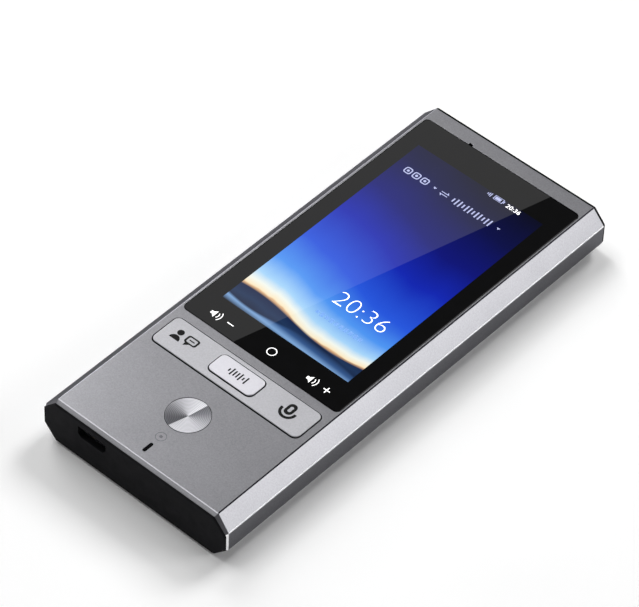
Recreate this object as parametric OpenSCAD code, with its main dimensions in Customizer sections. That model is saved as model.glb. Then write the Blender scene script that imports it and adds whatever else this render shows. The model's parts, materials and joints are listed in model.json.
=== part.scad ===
// Handheld translator: a slim bar with an eight-sided metal sleeve, a black cap in each end, a flush cover
// glass over the display, a rocker key bar with a talk key in its middle, and a round power key.
// Origin: centre of the back face. +X is to the right, +Y to the far end, +Z out of the face.

/* [Display] */
// Width of the lit area
lit_w = 34.86; // [31:0.02:40]
// Length of the lit area
lit_l = 61.98; // [50:0.02:75]
// Border of the panel at its sides and far end
panel_border = 1.5; // [1:0.1:2]
// Driver ledge of the panel at its near end
panel_ledge = 4.2; // [3.8:0.1:4.6]
// Thickness of the panel
panel_t = 0.85; // [0.7:0.05:1.1]
// Thickness of the backlight
backlight_t = 1.2; // [0.8:0.1:1.5]
// How far the panel's driver ledge runs past the backlight
driver_ledge = 2.8; // [2:0.1:3.2]
// Thickness of the ribbons
ribbon_t = 0.25; // [0.15:0.05:0.35]
// Width of the display ribbon
ribbon_w = 12; // [8:0.5:16]
// Length of the display ribbon on the main board
ribbon_run = 4.5; // [3:0.1:5]

/* [Cover glass] */
// Black border of the glass at its sides
border_side = 4.17; // [3.6:0.01:5]
// Black border of the glass at its far end
border_far = 7.55; // [5:0.05:10]
// Black border of the glass at its near end
border_near = 7.87; // [7:0.01:9]
// Thickness of the cover glass
glass_t = 0.75; // [0.55:0.05:0.85]
// Corner radius of the cover glass
glass_r = 1.3; // [0.5:0.1:2]
// Gap between the glass and its pocket
glass_fit = 0.05; // [0.03:0.01:0.1]
// Thickness of the adhesive frame
adhesive_t = 0.15; // [0.1:0.05:0.2]
// Gap between the panel and the window in the sleeve
window_gap = 0.4; // [0.2:0.05:0.6]

/* [Sleeve] */
// Thickness from the back to the face
body_t = 11.9; // [10.6:0.1:15]
// From the glass's sides to the facets
face_margin = 0.55; // [0.4:0.05:2]
// From the sleeve's far end to the glass
far_margin = 4.1; // [3.6:0.1:6]
// From the power key's centre to the sleeve's near end
near_margin = 15.7; // [14:0.1:20]
// Width of each slanted facet, seen from the front
facet_w = 3.15; // [2:0.05:3.5]
// Height of each slanted facet, seen from the end
facet_h = 3.4; // [2:0.05:4]
// Bevel round both ends of the sleeve
end_bevel = 0.65; // [0.3:0.05:0.9]
// Wall of the sleeve
wall = 1.4; // [1.25:0.05:1.7]

/* [End caps] */
// How far a cap stands out of the sleeve
cap_proud = 0.4; // [0.35:0.05:1]
// Bevel round a cap's outer face
cap_bevel = 0.3; // [0.1:0.05:0.32]
// Plate of a cap, behind the sleeve's end
cap_plate = 1.0; // [0.6:0.1:1.5]
// Depth of the rim that plugs into the sleeve
cap_depth = 3.0; // [2.6:0.1:4]
// Wall of that rim
cap_wall = 1.0; // [0.6:0.1:1.1]
// Gap between the rim and the sleeve
cap_fit = 0.1; // [0.05:0.05:0.15]
// Height of the snap nub on each side of the rim
snap_h = 0.4; // [0.25:0.05:0.5]
// Length of the snap nub along the body
snap_l = 1.4; // [0.8:0.1:1.6]
// Width of the snap nub across the thickness
snap_w = 3.0; // [1.5:0.1:3.5]
// Play of the nub in its groove
snap_play = 0.1; // [0.05:0.05:0.2]

/* [Keys] */
// From the key strip's opening to the facets
strip_margin = 1.75; // [1.5:0.05:4]
// Width of the key strip's opening along the body
strip_l = 8.9; // [8.8:0.1:11]
// Corner radius of the opening
strip_r = 1.6; // [1.5:0.1:3]
// From the glass to the key strip's opening
strip_gap = 2.3; // [2:0.05:2.6]
// Gap between each key and its opening
key_gap = 0.2; // [0.15:0.01:0.25]
// How far the key bar stands above the face
bar_rise = 0.25; // [0.1:0.05:0.5]
// Thickness of the key bar
bar_t = 1.8; // [1.6:0.1:2]
// Bevel of the keys' upper edges
key_bevel = 0.15; // [0.05:0.05:0.25]
// Length of the talk key's opening across the body
talk_w = 12.5; // [10:0.1:14]
// Width of the talk key's opening along the body
talk_l = 5.9; // [5:0.1:6]
// Corner radius of that opening
talk_r = 1.5; // [1.5:0.1:2.4]
// How far the talk key sits off the bar's middle
talk_shift = 0.25; // [0:0.05:0.4]
// How far the talk key stands above the bar
talk_rise = 0.3; // [0.1:0.05:0.6]
// Height of the talk key above its tabs
talk_body = 2.45; // [2.4:0.05:2.6]
// Thickness of the talk key's tabs
tab_t = 0.5; // [0.4:0.05:0.7]
// How far each tab reaches past the talk key
tab_reach = 1.1; // [0.6:0.1:1.5]
// Width of the tabs along the body
tab_w = 4.0; // [3:0.1:4.4]
// Radius of the rocker's pins
pin_r = 0.5; // [0.4:0.05:0.6]
// Running clearance round the pins
pin_fit = 0.05; // [0.03:0.01:0.1]
// Length of pin held in the frame
pin_hold = 1.2; // [0.8:0.1:2]
// Width of the lugs that carry the pins
lug_w = 2.0; // [1.6:0.1:3]
// Depth of the lugs along the body
lug_l = 0.9; // [0.6:0.1:1]
// From the ends of the key strip's opening to the rocker switches
rocker_inset = 6.4; // [5:0.1:8]
// Diameter of the power key's opening
power_d = 9.7; // [9:0.1:10.6]
// From the key strip's opening to the power key's centre
power_gap = 9.8; // [9:0.05:10.5]
// How far the power key stands above the face
power_rise = 0; // [0:0.05:0.4]
// Depth of the spun dish in the power key
dish = 0.3; // [0.1:0.05:0.5]
// Width of the power key's hidden flange
flange_w = 0.7; // [0.5:0.05:0.8]
// Thickness of that flange
flange_t = 0.6; // [0.4:0.05:0.8]
// Gap above the flange at rest
flange_gap = 0.2; // [0.1:0.05:0.3]

/* [Key frame] */
// Thickness of the key frame
frame_t = 1.5; // [1.4:0.1:1.8]
// Gap between the frame and what moves in it
frame_gap = 0.2; // [0.15:0.05:0.3]
// Rim of the frame past its openings
frame_rim = 0.5; // [0.4:0.1:0.6]
// Border of the frame below the power key
frame_border = 1.2; // [0.8:0.1:1.5]
// Length of the frame's screw posts
post_h = 1.8; // [1.6:0.1:2]
// Radius of the screw posts
post_r = 1.4; // [1.2:0.1:1.6]

/* [Boards] */
// Thickness of the boards
board_t = 0.8; // [0.6:0.1:1]
// Gap between a board and what is beside it
board_gap = 0.5; // [0.3:0.1:0.8]
// Gap between the boards' long edges and the sleeve
board_side = 1.6; // [1.4:0.1:2]
// Gap between the main board and the display ribbon that passes its edge
ribbon_gap = 0.42; // [0.2:0.01:0.6]
// Length of the far board
far_board_l = 8.1; // [7.6:0.1:9]
// From the main board's near edge to the middle of the speaker and the shield can
lower_margin = 10.5; // [10:0.1:12]
// Radius of the screws
screw_r = 0.65; // [0.5:0.05:0.8]
// Length of the screws below their heads
screw_l = 2.8; // [2.5:0.1:3]
// Radius of the screw heads
head_r = 1.3; // [1.1:0.1:1.5]
// Height of the screw heads
head_h = 0.6; // [0.4:0.1:0.8]
// Clearance round the screws
screw_fit = 0.05; // [0.03:0.01:0.1]
// Side of a tactile switch
switch_w = 4.4; // [4:0.1:4.8]
// Height of a tactile switch
switch_h = 1.3; // [1.2:0.1:1.5]
// Radius of the plungers
plunger_r = 1.0; // [0.8:0.05:1.2]
// Clearance round the plungers in their switches
plunger_fit = 0.15; // [0.1:0.01:0.2]
// Depth of the switch's well
well = 0.8; // [0.75:0.05:1]
// How deep a plunger stands in its well at rest
plunge = 0.3; // [0.3:0.05:0.35]

/* [Port] */
// Width of the port's shell
port_w = 7.5; // [7:0.1:9]
// Height of the port's shell
port_h = 2.6; // [2.3:0.1:2.8]
// Depth of the port's shell
port_l = 5.0; // [4:0.1:6]
// From the middle to the port, to the left
port_x = 11.5; // [9:0.1:13]
// Corner cut of the port's lower corners
port_cut = 0.8; // [0.4:0.1:1]
// Sheet of the port's shell
port_sheet = 0.25; // [0.2:0.05:0.3]
// Gap between the port and the cap
port_fit = 0.1; // [0.05:0.05:0.2]
// Thickness of the contact tongue
tongue_t = 0.6; // [0.4:0.05:0.7]
// Length of the contact tongue
tongue_l = 3.2; // [2:0.1:3.3]

/* [Microphones] */
// Length of the slot below the power key
slot_l = 2.8; // [2:0.1:3.2]
// Width of that slot
slot_w = 0.85; // [0.6:0.05:1]
// From the sleeve's near end to the slot's centre
slot_margin = 4.0; // [3.4:0.1:4.4]
// Depth of the insert below the face
insert_depth = 0.15; // [0.1:0.05:0.3]
// Thickness of the slot insert
insert_t = 0.9; // [0.6:0.1:1]
// Gap round the insert
insert_fit = 0.02; // [0.01:0.01:0.05]
// Width of a microphone
mic_w = 3.5; // [3:0.1:4]
// Length of a microphone
mic_l = 2.65; // [2.4:0.05:3]
// Height of a microphone
mic_h = 1.0; // [0.8:0.05:1.05]
// Radius of a microphone's rubber boot
boot_r = 1.6; // [1.5:0.1:1.9]
// Radius of the sound channel in the boot
channel_r = 0.5; // [0.3:0.05:0.6]
// From the middle to the far microphone, to the left
far_mic_x = 9.3; // [6:0.1:14]
// Width of the far microphone's notch
notch_w = 1.0; // [0.6:0.1:1.5]
// Length of the far microphone's notch
notch_l = 0.6; // [0.4:0.05:0.9]

/* [Speaker] */
// Width of the speaker
speaker_w = 14; // [12:0.1:15.5]
// Length of the speaker
speaker_l = 13; // [12:0.1:14]
// Thickness of the speaker
speaker_t = 2.8; // [2.4:0.1:3.2]
// From the main board's long edges to the speaker and the shield can
lower_inset = 4.9; // [4.6:0.1:5.5]
// Thickness of the speaker's gasket
gasket_t = 0.4; // [0.3:0.05:0.6]
// Width of the gasket
gasket_w = 1.6; // [1:0.1:2]
// Inset of the gasket from the speaker's edges
gasket_inset = 0.2; // [0.1:0.05:0.4]
// Thickness of the dust mesh
mesh_t = 0.1; // [0.05:0.05:0.2]
// Gap between the dust mesh and the gasket
mesh_fit = 0.1; // [0.05:0.05:0.2]
// Diameter of a grille hole
grille_d = 1.0; // [0.7:0.05:1.2]
// Pitch of the grille holes
grille_pitch = 2.0; // [1.6:0.05:2.1]
// Columns of grille holes
grille_cols = 5; // [3:1:5]
// Rows of grille holes
grille_rows = 4; // [2:1:4]
// Width of a speaker contact
contact_w = 1.6; // [1:0.1:2]

/* [Chips] */
// Height of the shield can
can_h = 1.5; // [1.4:0.1:1.8]
// Sheet of the shield can
can_sheet = 0.2; // [0.15:0.05:0.3]
// Side of the processor
chip_w = 8.0; // [6:0.1:9]
// Height of the chips
chip_h = 0.9; // [0.6:0.05:1]
// Width of the memory chip
memory_w = 4.0; // [3:0.1:5]
// Gap between the chips and the can's wall, and between each other
chip_gap = 0.6; // [0.3:0.1:0.8]

/* [Battery] */
// Thickness of the chassis plate
chassis_t = 0.8; // [0.6:0.1:1]
// Gap between the chassis plate and the sleeve's facets
chassis_fit = 0.1; // [0.05:0.05:0.2]
// Thickness of the foam pad
pad_t = 1.1; // [0.8:0.1:1.3]
// Thickness of the battery's tape
tape_t = 0.2; // [0.1:0.05:0.3]
// Channel between the battery and the side walls
channel = 3.9; // [3.5:0.1:5]
// Gap between the battery and each board
battery_gap = 2.5; // [2:0.1:4]
// Corner radius of the battery
battery_r = 2.0; // [1:0.1:3]
// Inset of the tape and the pad from the battery's edges
pad_inset = 6; // [3:0.5:10]
// From the battery's side to the middle of its lead
lead_inset = 6; // [4:0.5:10]
// Width of the battery lead
lead_w = 6; // [4:0.5:8]
// Height of the lead below the main board, at the battery
lead_drop = 0.8; // [0.5:0.1:1.5]
// Overlap of the leads and link ribbon with the boards
lead_run = 3.5; // [2:0.1:4]
// Width of the link ribbon between the boards
link_w = 1.2; // [0.8:0.1:1.4]
// Gap between the link ribbon and the boards' long edges
link_edge = 0.3; // [0.2:0.1:0.5]
// Length of the antenna film
antenna_w = 24; // [16:0.5:30]
// Height of the antenna film
antenna_h = 5; // [3:0.1:6]
// Thickness of the antenna film
antenna_t = 0.2; // [0.1:0.05:0.3]

/* [Hidden] */
$fn = 64;
hull_fn = 32;
through = 1;

// The eight-sided section: half sizes, and the facets' direction and distance from its middle
glass_w = lit_w + 2 * border_side;
glass_l = lit_l + border_far + border_near;
face_w = glass_w + 2 * face_margin;
body_w = face_w + 2 * facet_w;
body_l = far_margin + glass_l + strip_gap + strip_l + power_gap + near_margin;
half_x = body_w / 2;
half_z = body_t / 2;
facet_a = atan2(facet_w, facet_h);
facet_d = (half_x - facet_w) * cos(facet_a) + half_z * sin(facet_a);
end_y = body_l / 2;
inner_x = half_x - wall;

// Heights, from the face down
face_z = body_t;
ceiling_z = face_z - wall;
panel_top = face_z - glass_t;
pocket_z = panel_top - adhesive_t;
panel_z = panel_top - panel_t;
backlight_z = panel_z - backlight_t;
chassis_z = backlight_z - chassis_t;
battery_top = chassis_z - pad_t;
battery_z = wall + tape_t;
frame_z = ceiling_z - frame_t;
board_top = frame_z - post_h;
board_z = board_top - board_t;
axis_z = frame_z + frame_t / 2;
bar_top = face_z + bar_rise;
bar_z = bar_top - bar_t;
talk_top = bar_top + talk_rise;
tab_top = talk_top - talk_body;
talk_z = tab_top - tab_t;
flange_top = ceiling_z - flange_gap;
flange_z = flange_top - flange_t;
switch_top = board_top + switch_h;
plunger_z = switch_top - plunge;
port_z = board_top + port_h / 2;

// Places along the body, from the far end to the near end
glass_far = end_y - far_margin;
glass_near = glass_far - glass_l;
glass_y = (glass_far + glass_near) / 2;
lit_far = glass_far - border_far;
panel_far = lit_far + panel_border;
panel_near = lit_far - lit_l - panel_ledge;
panel_y = (panel_far + panel_near) / 2;
backlight_near = panel_near + driver_ledge;
strip_far = glass_near - strip_gap;
strip_y = strip_far - strip_l / 2;
talk_y = strip_y + talk_shift;
power_y = strip_far - strip_l - power_gap;
slot_y = slot_margin - end_y;
snap_y = (cap_plate + cap_depth) / 2 - end_y;
cap_inside = end_y - cap_plate;
board_far = panel_near - ribbon_t - ribbon_gap;
board_near = board_gap - cap_inside;
far_board_end = cap_inside - board_gap;
far_board_near = far_board_end - far_board_l;
battery_near = board_far + battery_gap + lead_run / 2;
battery_far = far_board_near - battery_gap;
frame_far = board_far - frame_gap;
frame_near = power_y - power_d / 2 - flange_w - frame_gap - frame_border;
far_mic_y = glass_far + notch_l / 2;

// Widths and places across the body
panel_w = lit_w + 2 * panel_border;
strip_w = face_w - 2 * strip_margin;
rocker_reach = strip_w / 2 - rocker_inset;
board_w = 2 * (inner_x - board_side);
battery_w = 2 * (inner_x - channel);
frame_w = strip_w + 2 * frame_rim;
post_x = board_w / 2 - link_edge - link_w - frame_gap - head_r;
post_far = frame_far - post_r - frame_gap;
post_near = frame_near + post_r + frame_gap;
far_post_y = far_board_near + far_board_l / 2;
lower_y = board_near + lower_margin;
link_x = -board_w / 2 + link_edge + link_w / 2;
can_w = chip_w + memory_w + 3 * chip_gap + 2 * can_sheet;
speaker_x = board_w / 2 - lower_inset - speaker_w / 2;
can_x = board_w / 2 - lower_inset - can_w / 2;
lead_x = battery_w / 2 - lead_inset;
key_points = [[-rocker_reach, strip_y], [rocker_reach, strip_y]];

// Rectangle with rounded corners
module rounded(w, l, r) {
    square([w - 2 * r, l], center = true);
    square([w, l - 2 * r], center = true);
    for (sx = [-1, 1], sy = [-1, 1])
        translate([sx * (w / 2 - r), sy * (l / 2 - r)]) circle(r);
}

// Flat plate with rounded corners, between two heights
module plate(w, l, r, z0, z1) {
    translate([0, 0, z0]) linear_extrude(z1 - z0) rounded(w, l, r);
}

// The same with a bevelled upper edge
module key_plate(w, l, r, z0, z1) {
    hull($fn = hull_fn) {
        plate(w, l, r, z0, z1 - key_bevel, $fn = hull_fn);
        plate(w - 2 * key_bevel, l - 2 * key_bevel, r - key_bevel, z0, z1, $fn = hull_fn);
    }
}

// Box from its centre across the body and along it, and its two heights
module block(w, l, z0, z1) {
    translate([-w / 2, -l / 2, z0]) cube([w, l, z1 - z0]);
}

// One end of a slab's outline, bevelled or square
function slab_end(half, y, bevel, side) =
    bevel > 0
    ? [[-side * half, y + side * bevel], [-side * (half - bevel), y], [side * (half - bevel), y],
       [side * half, y + side * bevel]]
    : [[-side * half, y], [side * half, y]];

// A slab with parallel faces, turned about the section's middle, with bevelled ends
module slab(half, y0, y1, bevel0, bevel1, turn) {
    translate([0, 0, half_z]) rotate([0, -turn, 0]) translate([0, 0, -body_w])
        linear_extrude(2 * body_w)
            polygon(concat(slab_end(half, y0, bevel0, 1), slab_end(half, y1, bevel1, -1)));
}

// The eight-sided bar, inset from the sleeve's surface, between two places along the body
module bar(inset, y0, y1, bevel0 = 0, bevel1 = 0) {
    intersection() {
        slab(half_x - inset, y0, y1, bevel0, bevel1, 0);
        slab(half_z - inset, y0, y1, bevel0, bevel1, 90);
        slab(facet_d - inset, y0, y1, bevel0, bevel1, facet_a);
        slab(facet_d - inset, y0, y1, bevel0, bevel1, -facet_a);
    }
}

// Outline of the port, with its lower corners cut
module port_outline(grow) {
    w = port_w / 2 + grow;
    h = port_h / 2 + grow;
    polygon([[-w, h], [w, h], [w, port_cut - h], [w - port_cut, -h], [port_cut - w, -h], [-w, port_cut - h]]);
}

// The port's outline drawn out along the body
module port_bar(grow, y0, y1) {
    translate([-port_x, y1, port_z]) rotate([90, 0, 0]) linear_extrude(y1 - y0) port_outline(grow);
}

// Ribbon across the body: an outline of places and heights, drawn out to its width
module ribbon(w, outline) {
    translate([-w / 2, 0, 0]) rotate([90, 0, 90]) linear_extrude(w) polygon(outline);
}

// Nubs of the snaps on both sides of the near end, or with play their grooves
module snaps(play) {
    reach = cap_wall + snap_h + play;
    for (side = [0, 1]) mirror([side, 0, 0])
        translate([inner_x - cap_fit - cap_wall + reach / 2, snap_y, half_z])
            block(reach, snap_l + 2 * play, -snap_w / 2 - play, snap_w / 2 + play);
}

// Cap of the near end, cut back round the microphone's boot
module cap(boot_x, boot_y) {
    bar(end_bevel, -end_y - cap_proud, -end_y, cap_bevel, 0);
    difference() {
        bar(wall + cap_fit, -end_y - cap_proud / 2, cap_depth - end_y);
        bar(wall + cap_fit + cap_wall, cap_plate - end_y, cap_depth - end_y + through);
        translate([boot_x, boot_y, half_z]) cylinder(r = boot_r + frame_gap, h = half_z);
    }
    snaps(0);
}

// Window round the display panel, between two heights
module window(z0, z1) {
    translate([0, panel_y, 0])
        block(panel_w + 2 * window_gap, panel_far - panel_near + 2 * window_gap, z0, z1);
}

// Frame of sheet under the speaker, inset from its edges, between two heights
module speaker_sheet(inset, z0, z1) {
    block(speaker_w - 2 * inset, speaker_l - 2 * inset, z0, z1);
}

// Sound boot on a microphone
module boot() {
    difference() {
        translate([0, 0, board_top + mic_h]) cylinder(r = boot_r, h = ceiling_z - board_top - mic_h);
        translate([0, 0, board_top + mic_h - through])
            cylinder(r = channel_r, h = ceiling_z - board_top - mic_h + 2 * through);
    }
}

// Tactile switch with a well for its plunger
module tact_switch() {
    difference() {
        block(switch_w, switch_w, board_top, switch_top);
        translate([0, 0, switch_top - well]) cylinder(r = plunger_r + plunger_fit, h = well + through);
    }
}

// Plunger between a switch and the underside of its key
module plunger(top) {
    translate([0, 0, plunger_z]) cylinder(r = plunger_r, h = top - plunger_z);
}

// Places of the main board's screws
module at_posts() {
    for (x = [-post_x, post_x], y = [post_far, post_near]) translate([x, y, 0]) children();
}

// Places of the far board's screws
module at_far_posts() {
    for (x = [-post_x, post_x]) translate([x, far_post_y, 0]) children();
}

// Place of one grille hole in a row of so many, from the row's middle
function grille_place(i, count) = (i - (count - 1) / 2) * grille_pitch;

module housing() {
    color("#9c9ca0") difference() {
        bar(0, -end_y, end_y, end_bevel, end_bevel);
        bar(wall, -end_y - through, end_y + through);
        translate([0, glass_y, 0])
            plate(glass_w + 2 * glass_fit, glass_l + 2 * glass_fit, glass_r, pocket_z, face_z + through);
        window(ceiling_z - through, face_z);
        translate([0, strip_y, 0]) plate(strip_w, strip_l, strip_r, ceiling_z - through, face_z + through);
        translate([0, power_y, ceiling_z - through]) cylinder(d = power_d, h = wall + 2 * through);
        translate([0, slot_y, 0])
            plate(slot_w, slot_l, slot_w / 2 - insert_fit, ceiling_z - through, face_z + through);
        translate([-far_mic_x, far_mic_y, 0])
            block(notch_w, notch_l, ceiling_z - through, face_z + through);
        translate([speaker_x, lower_y, -through])
            for (i = [0 : grille_cols - 1], j = [0 : grille_rows - 1])
                translate([grille_place(i, grille_cols), grille_place(j, grille_rows), 0])
                    cylinder(d = grille_d, h = wall + 2 * through);
        snaps(snap_play);
        mirror([0, 1, 0]) snaps(snap_play);
    }
}

module bottom_cap() {
    color("#1b1b1c") difference() {
        cap(0, slot_y);
        port_bar(port_fit, -end_y - cap_proud - through, cap_depth - end_y + through);
    }
}

module top_cap() {
    color("#1b1b1c") mirror([0, 1, 0]) cap(-far_mic_x, -far_mic_y);
}

module cover_glass() {
    color("#050506") translate([0, glass_y, 0]) plate(glass_w, glass_l, glass_r, panel_top, face_z);
}

module glass_adhesive() {
    color("#202022") difference() {
        translate([0, glass_y, 0]) plate(glass_w, glass_l, glass_r, pocket_z, panel_top);
        window(pocket_z - through, panel_top + through);
    }
}

module display_panel() {
    color("#2a50a0") translate([0, panel_y, 0])
        block(panel_w, panel_far - panel_near, panel_z, panel_top);
}

module backlight() {
    color("#e8e8ea") translate([0, (panel_far + backlight_near) / 2, 0])
        block(panel_w, panel_far - backlight_near, backlight_z, panel_z);
}

module display_flex() {
    // Under the driver ledge, down past the board's edge and onto the board
    edge = panel_near;
    color("#c07a28") ribbon(ribbon_w, [
        [edge + driver_ledge / 2, panel_z], [edge + driver_ledge / 2, panel_z - ribbon_t],
        [edge, panel_z - ribbon_t], [edge, board_top],
        [board_far - ribbon_run, board_top], [board_far - ribbon_run, board_top + ribbon_t],
        [edge - ribbon_t, board_top + ribbon_t], [edge - ribbon_t, panel_z]
    ]);
}

module chassis_plate() {
    near = panel_near + board_gap;
    far = end_y - cap_depth - board_gap;
    color("#b4b8bc") difference() {
        union() {
            intersection() {
                bar(wall + chassis_fit, near, far);
                translate([0, (near + far) / 2, 0]) block(body_w, far - near, chassis_z, backlight_z);
            }
            at_far_posts() translate([0, 0, board_top]) cylinder(r = post_r, h = chassis_z - board_top);
        }
        at_far_posts() translate([0, 0, board_top - through])
            cylinder(r = screw_r + screw_fit, h = backlight_z - board_top + 2 * through);
        translate([-far_mic_x, far_mic_y, chassis_z - through])
            cylinder(r = boot_r + frame_gap, h = chassis_t + 2 * through);
    }
}

module battery() {
    color("#4a4d52") translate([0, (battery_near + battery_far) / 2, 0])
        plate(battery_w, battery_far - battery_near, battery_r, battery_z, battery_top);
}

module battery_sheet(z0, z1) {
    translate([0, (battery_near + battery_far) / 2, 0])
        block(battery_w - 2 * pad_inset, battery_far - battery_near - 2 * pad_inset, z0, z1);
}

module battery_tape() {
    color("#e6d9a8") battery_sheet(wall, battery_z);
}

module battery_pad() {
    color("#303034") battery_sheet(battery_top, chassis_z);
}

module battery_lead() {
    low = board_z - lead_drop;
    rise = (battery_near + board_far) / 2;
    color("#c07a28") translate([lead_x, 0, 0]) ribbon(lead_w, [
        [battery_near, low], [battery_near, low + ribbon_t], [rise + ribbon_t, low + ribbon_t],
        [rise + ribbon_t, board_z], [board_far - lead_run, board_z],
        [board_far - lead_run, board_z - ribbon_t],
        [rise, board_z - ribbon_t], [rise, low]
    ]);
}

module main_board() {
    color("#1f6b3a") difference() {
        translate([0, (board_far + board_near) / 2, 0])
            block(board_w, board_far - board_near, board_z, board_top);
        at_posts() translate([0, 0, board_z - through])
            cylinder(r = screw_r + screw_fit, h = board_t + 2 * through);
    }
}

module screw() {
    translate([0, 0, board_z - head_h]) cylinder(r = head_r, h = head_h);
    translate([0, 0, board_z - head_h / 2]) cylinder(r = screw_r, h = screw_l + head_h / 2);
}

module board_screws() {
    color("#8c8c90") {
        at_posts() screw();
        at_far_posts() screw();
    }
}

module shield_can() {
    color("#b8babc") translate([-can_x, lower_y, 0]) difference() {
        block(can_w, can_w, board_z - can_h, board_z);
        block(can_w - 2 * can_sheet, can_w - 2 * can_sheet, board_z - can_h + can_sheet, board_z + through);
    }
}

// Chip of width w under the main board, that far from the first gap inside the shield can
module chip(from, w) {
    translate([from + can_sheet + chip_gap + w / 2 - can_x - can_w / 2, lower_y, 0])
        block(w, chip_w, board_z - chip_h, board_z);
}

module processor() {
    color("#18181a") chip(0, chip_w);
}

module memory_chip() {
    color("#202024") chip(chip_w + chip_gap, memory_w);
}

module usb_shell() {
    color("#a0a2a6") difference() {
        port_bar(0, -cap_inside, port_l - cap_inside);
        port_bar(-port_sheet, -cap_inside - through, port_l - cap_inside + through);
    }
}

module usb_tongue() {
    back = port_l - cap_inside;
    root = tongue_l - cap_inside + port_sheet;
    color("#141416") {
        port_bar(-port_sheet, root, back);
        translate([-port_x, (root - tongue_l + back) / 2, 0])
            block(port_w - 2 * port_cut - 2 * port_sheet, back - root + tongue_l, port_z, port_z + tongue_t);
    }
}

module rocker_switches() {
    color("#c8c8ca") for (p = key_points) translate([p[0], p[1], 0]) tact_switch();
}

module talk_switch() {
    color("#c8c8ca") translate([0, talk_y, 0]) tact_switch();
}

module power_switch() {
    color("#c8c8ca") translate([0, power_y, 0]) tact_switch();
}

module rocker_plungers() {
    color("#2c2c30") for (p = key_points) translate([p[0], p[1], 0]) plunger(bar_z);
}

module talk_plunger() {
    color("#2c2c30") translate([0, talk_y, 0]) plunger(talk_z);
}

module power_plunger() {
    color("#2c2c30") translate([0, power_y, 0]) plunger(flange_z);
}

module key_frame() {
    color("#3a3a3e") difference() {
        union() {
            translate([0, (frame_far + frame_near) / 2, 0])
                block(frame_w, frame_far - frame_near, frame_z, ceiling_z);
            at_posts() translate([0, 0, board_top]) cylinder(r = post_r, h = frame_z - board_top);
        }
        translate([0, strip_y, 0]) plate(
            strip_w + 2 * frame_gap, strip_l + 2 * frame_gap, strip_r, frame_z - through, ceiling_z + through
        );
        translate([0, power_y, frame_z - through])
            cylinder(r = power_d / 2 + flange_w + frame_gap, h = frame_t + 2 * through);
        at_posts() translate([0, 0, board_top - through])
            cylinder(r = screw_r + screw_fit, h = screw_l + through);
        translate([0, strip_y + strip_l / 2 + frame_gap + pin_hold + frame_gap, axis_z]) rotate([90, 0, 0])
            cylinder(r = pin_r + pin_fit, h = strip_l + 2 * (pin_hold + 2 * frame_gap));
    }
}

module key_bar() {
    w = strip_w - 2 * key_gap;
    l = strip_l - 2 * key_gap;
    color("#c4c3c9") {
        difference() {
            translate([0, strip_y, 0]) key_plate(w, l, strip_r - key_gap, bar_z, bar_top);
            translate([0, talk_y, 0]) plate(talk_w, talk_l, talk_r, bar_z - through, bar_top + through);
        }
        for (side = [0, 1]) translate([0, strip_y, 0]) mirror([0, side, 0]) {
            translate([0, (l - lug_l) / 2, 0]) block(lug_w, lug_l, axis_z - pin_r, bar_z);
            translate([0, l / 2 - lug_l / 2, axis_z]) rotate([-90, 0, 0])
                cylinder(r = pin_r, h = lug_l / 2 + key_gap + frame_gap + pin_hold);
        }
    }
}

module talk_key() {
    w = talk_w - 2 * key_gap;
    color("#dddce2") translate([0, talk_y, 0]) {
        key_plate(w, talk_l - 2 * key_gap, talk_r - key_gap, tab_top, talk_top);
        block(w + 2 * tab_reach, tab_w, talk_z, tab_top);
    }
}

module power_key() {
    r = power_d / 2 - key_gap / 2;
    flange_r = power_d / 2 + flange_w;
    top = face_z + power_rise;
    color("#d0d0d4") translate([0, power_y, 0]) rotate_extrude() polygon([
        [0, flange_z], [flange_r, flange_z], [flange_r, flange_top], [r, flange_top],
        [r, top - key_bevel], [r - key_bevel, top], [0, top - dish]
    ]);
}

module slot_insert() {
    top = face_z - insert_depth;
    w = slot_w - 2 * insert_fit;
    color("#0c0c0d") translate([0, slot_y, 0])
        plate(w, slot_l - 2 * insert_fit, w / 2 - insert_fit, top - insert_t, top);
}

module front_microphone() {
    color("#c9b06a") translate([0, slot_y, 0]) block(mic_w, mic_l, board_top, board_top + mic_h);
}

module front_mic_boot() {
    color("#26262a") translate([0, slot_y, 0]) boot();
}

module top_board() {
    color("#1f6b3a") difference() {
        translate([0, (far_board_near + far_board_end) / 2, 0])
            block(board_w, far_board_l, board_z, board_top);
        at_far_posts() translate([0, 0, board_z - through])
            cylinder(r = screw_r + screw_fit, h = board_t + 2 * through);
    }
}

module top_microphone() {
    color("#c9b06a") translate([-far_mic_x, far_mic_y, 0]) block(mic_w, mic_l, board_top, board_top + mic_h);
}

module top_mic_boot() {
    color("#26262a") translate([-far_mic_x, far_mic_y, 0]) boot();
}

module antenna() {
    color("#b08850") translate([0, cap_inside - insert_fit - antenna_t / 2, 0])
        block(antenna_w, antenna_t, half_z - antenna_h / 2, half_z + antenna_h / 2);
}

module link_flex() {
    near = board_far - lead_run;
    far = far_board_near + lead_run;
    color("#c07a28") translate([link_x, (near + far) / 2, 0])
        block(link_w, far - near, board_z - ribbon_t, board_z);
}

module speaker() {
    color("#2a2a2c") translate([speaker_x, lower_y, 0])
        plate(speaker_w, speaker_l, gasket_w, wall + gasket_t, wall + gasket_t + speaker_t);
}

module speaker_gasket() {
    color("#38383c") translate([speaker_x, lower_y, 0]) difference() {
        speaker_sheet(gasket_inset, wall, wall + gasket_t);
        speaker_sheet(gasket_inset + gasket_w, wall - through, wall + gasket_t + through);
    }
}

module speaker_mesh() {
    color("#101012") translate([speaker_x, lower_y, 0])
        speaker_sheet(gasket_inset + gasket_w + mesh_fit, wall, wall + mesh_t);
}

module speaker_contacts() {
    color("#d0b060") for (side = [-1, 1])
        translate([speaker_x + side * speaker_w / 4, lower_y, 0])
            block(contact_w, contact_w, wall + gasket_t + speaker_t, board_z);
}

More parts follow.
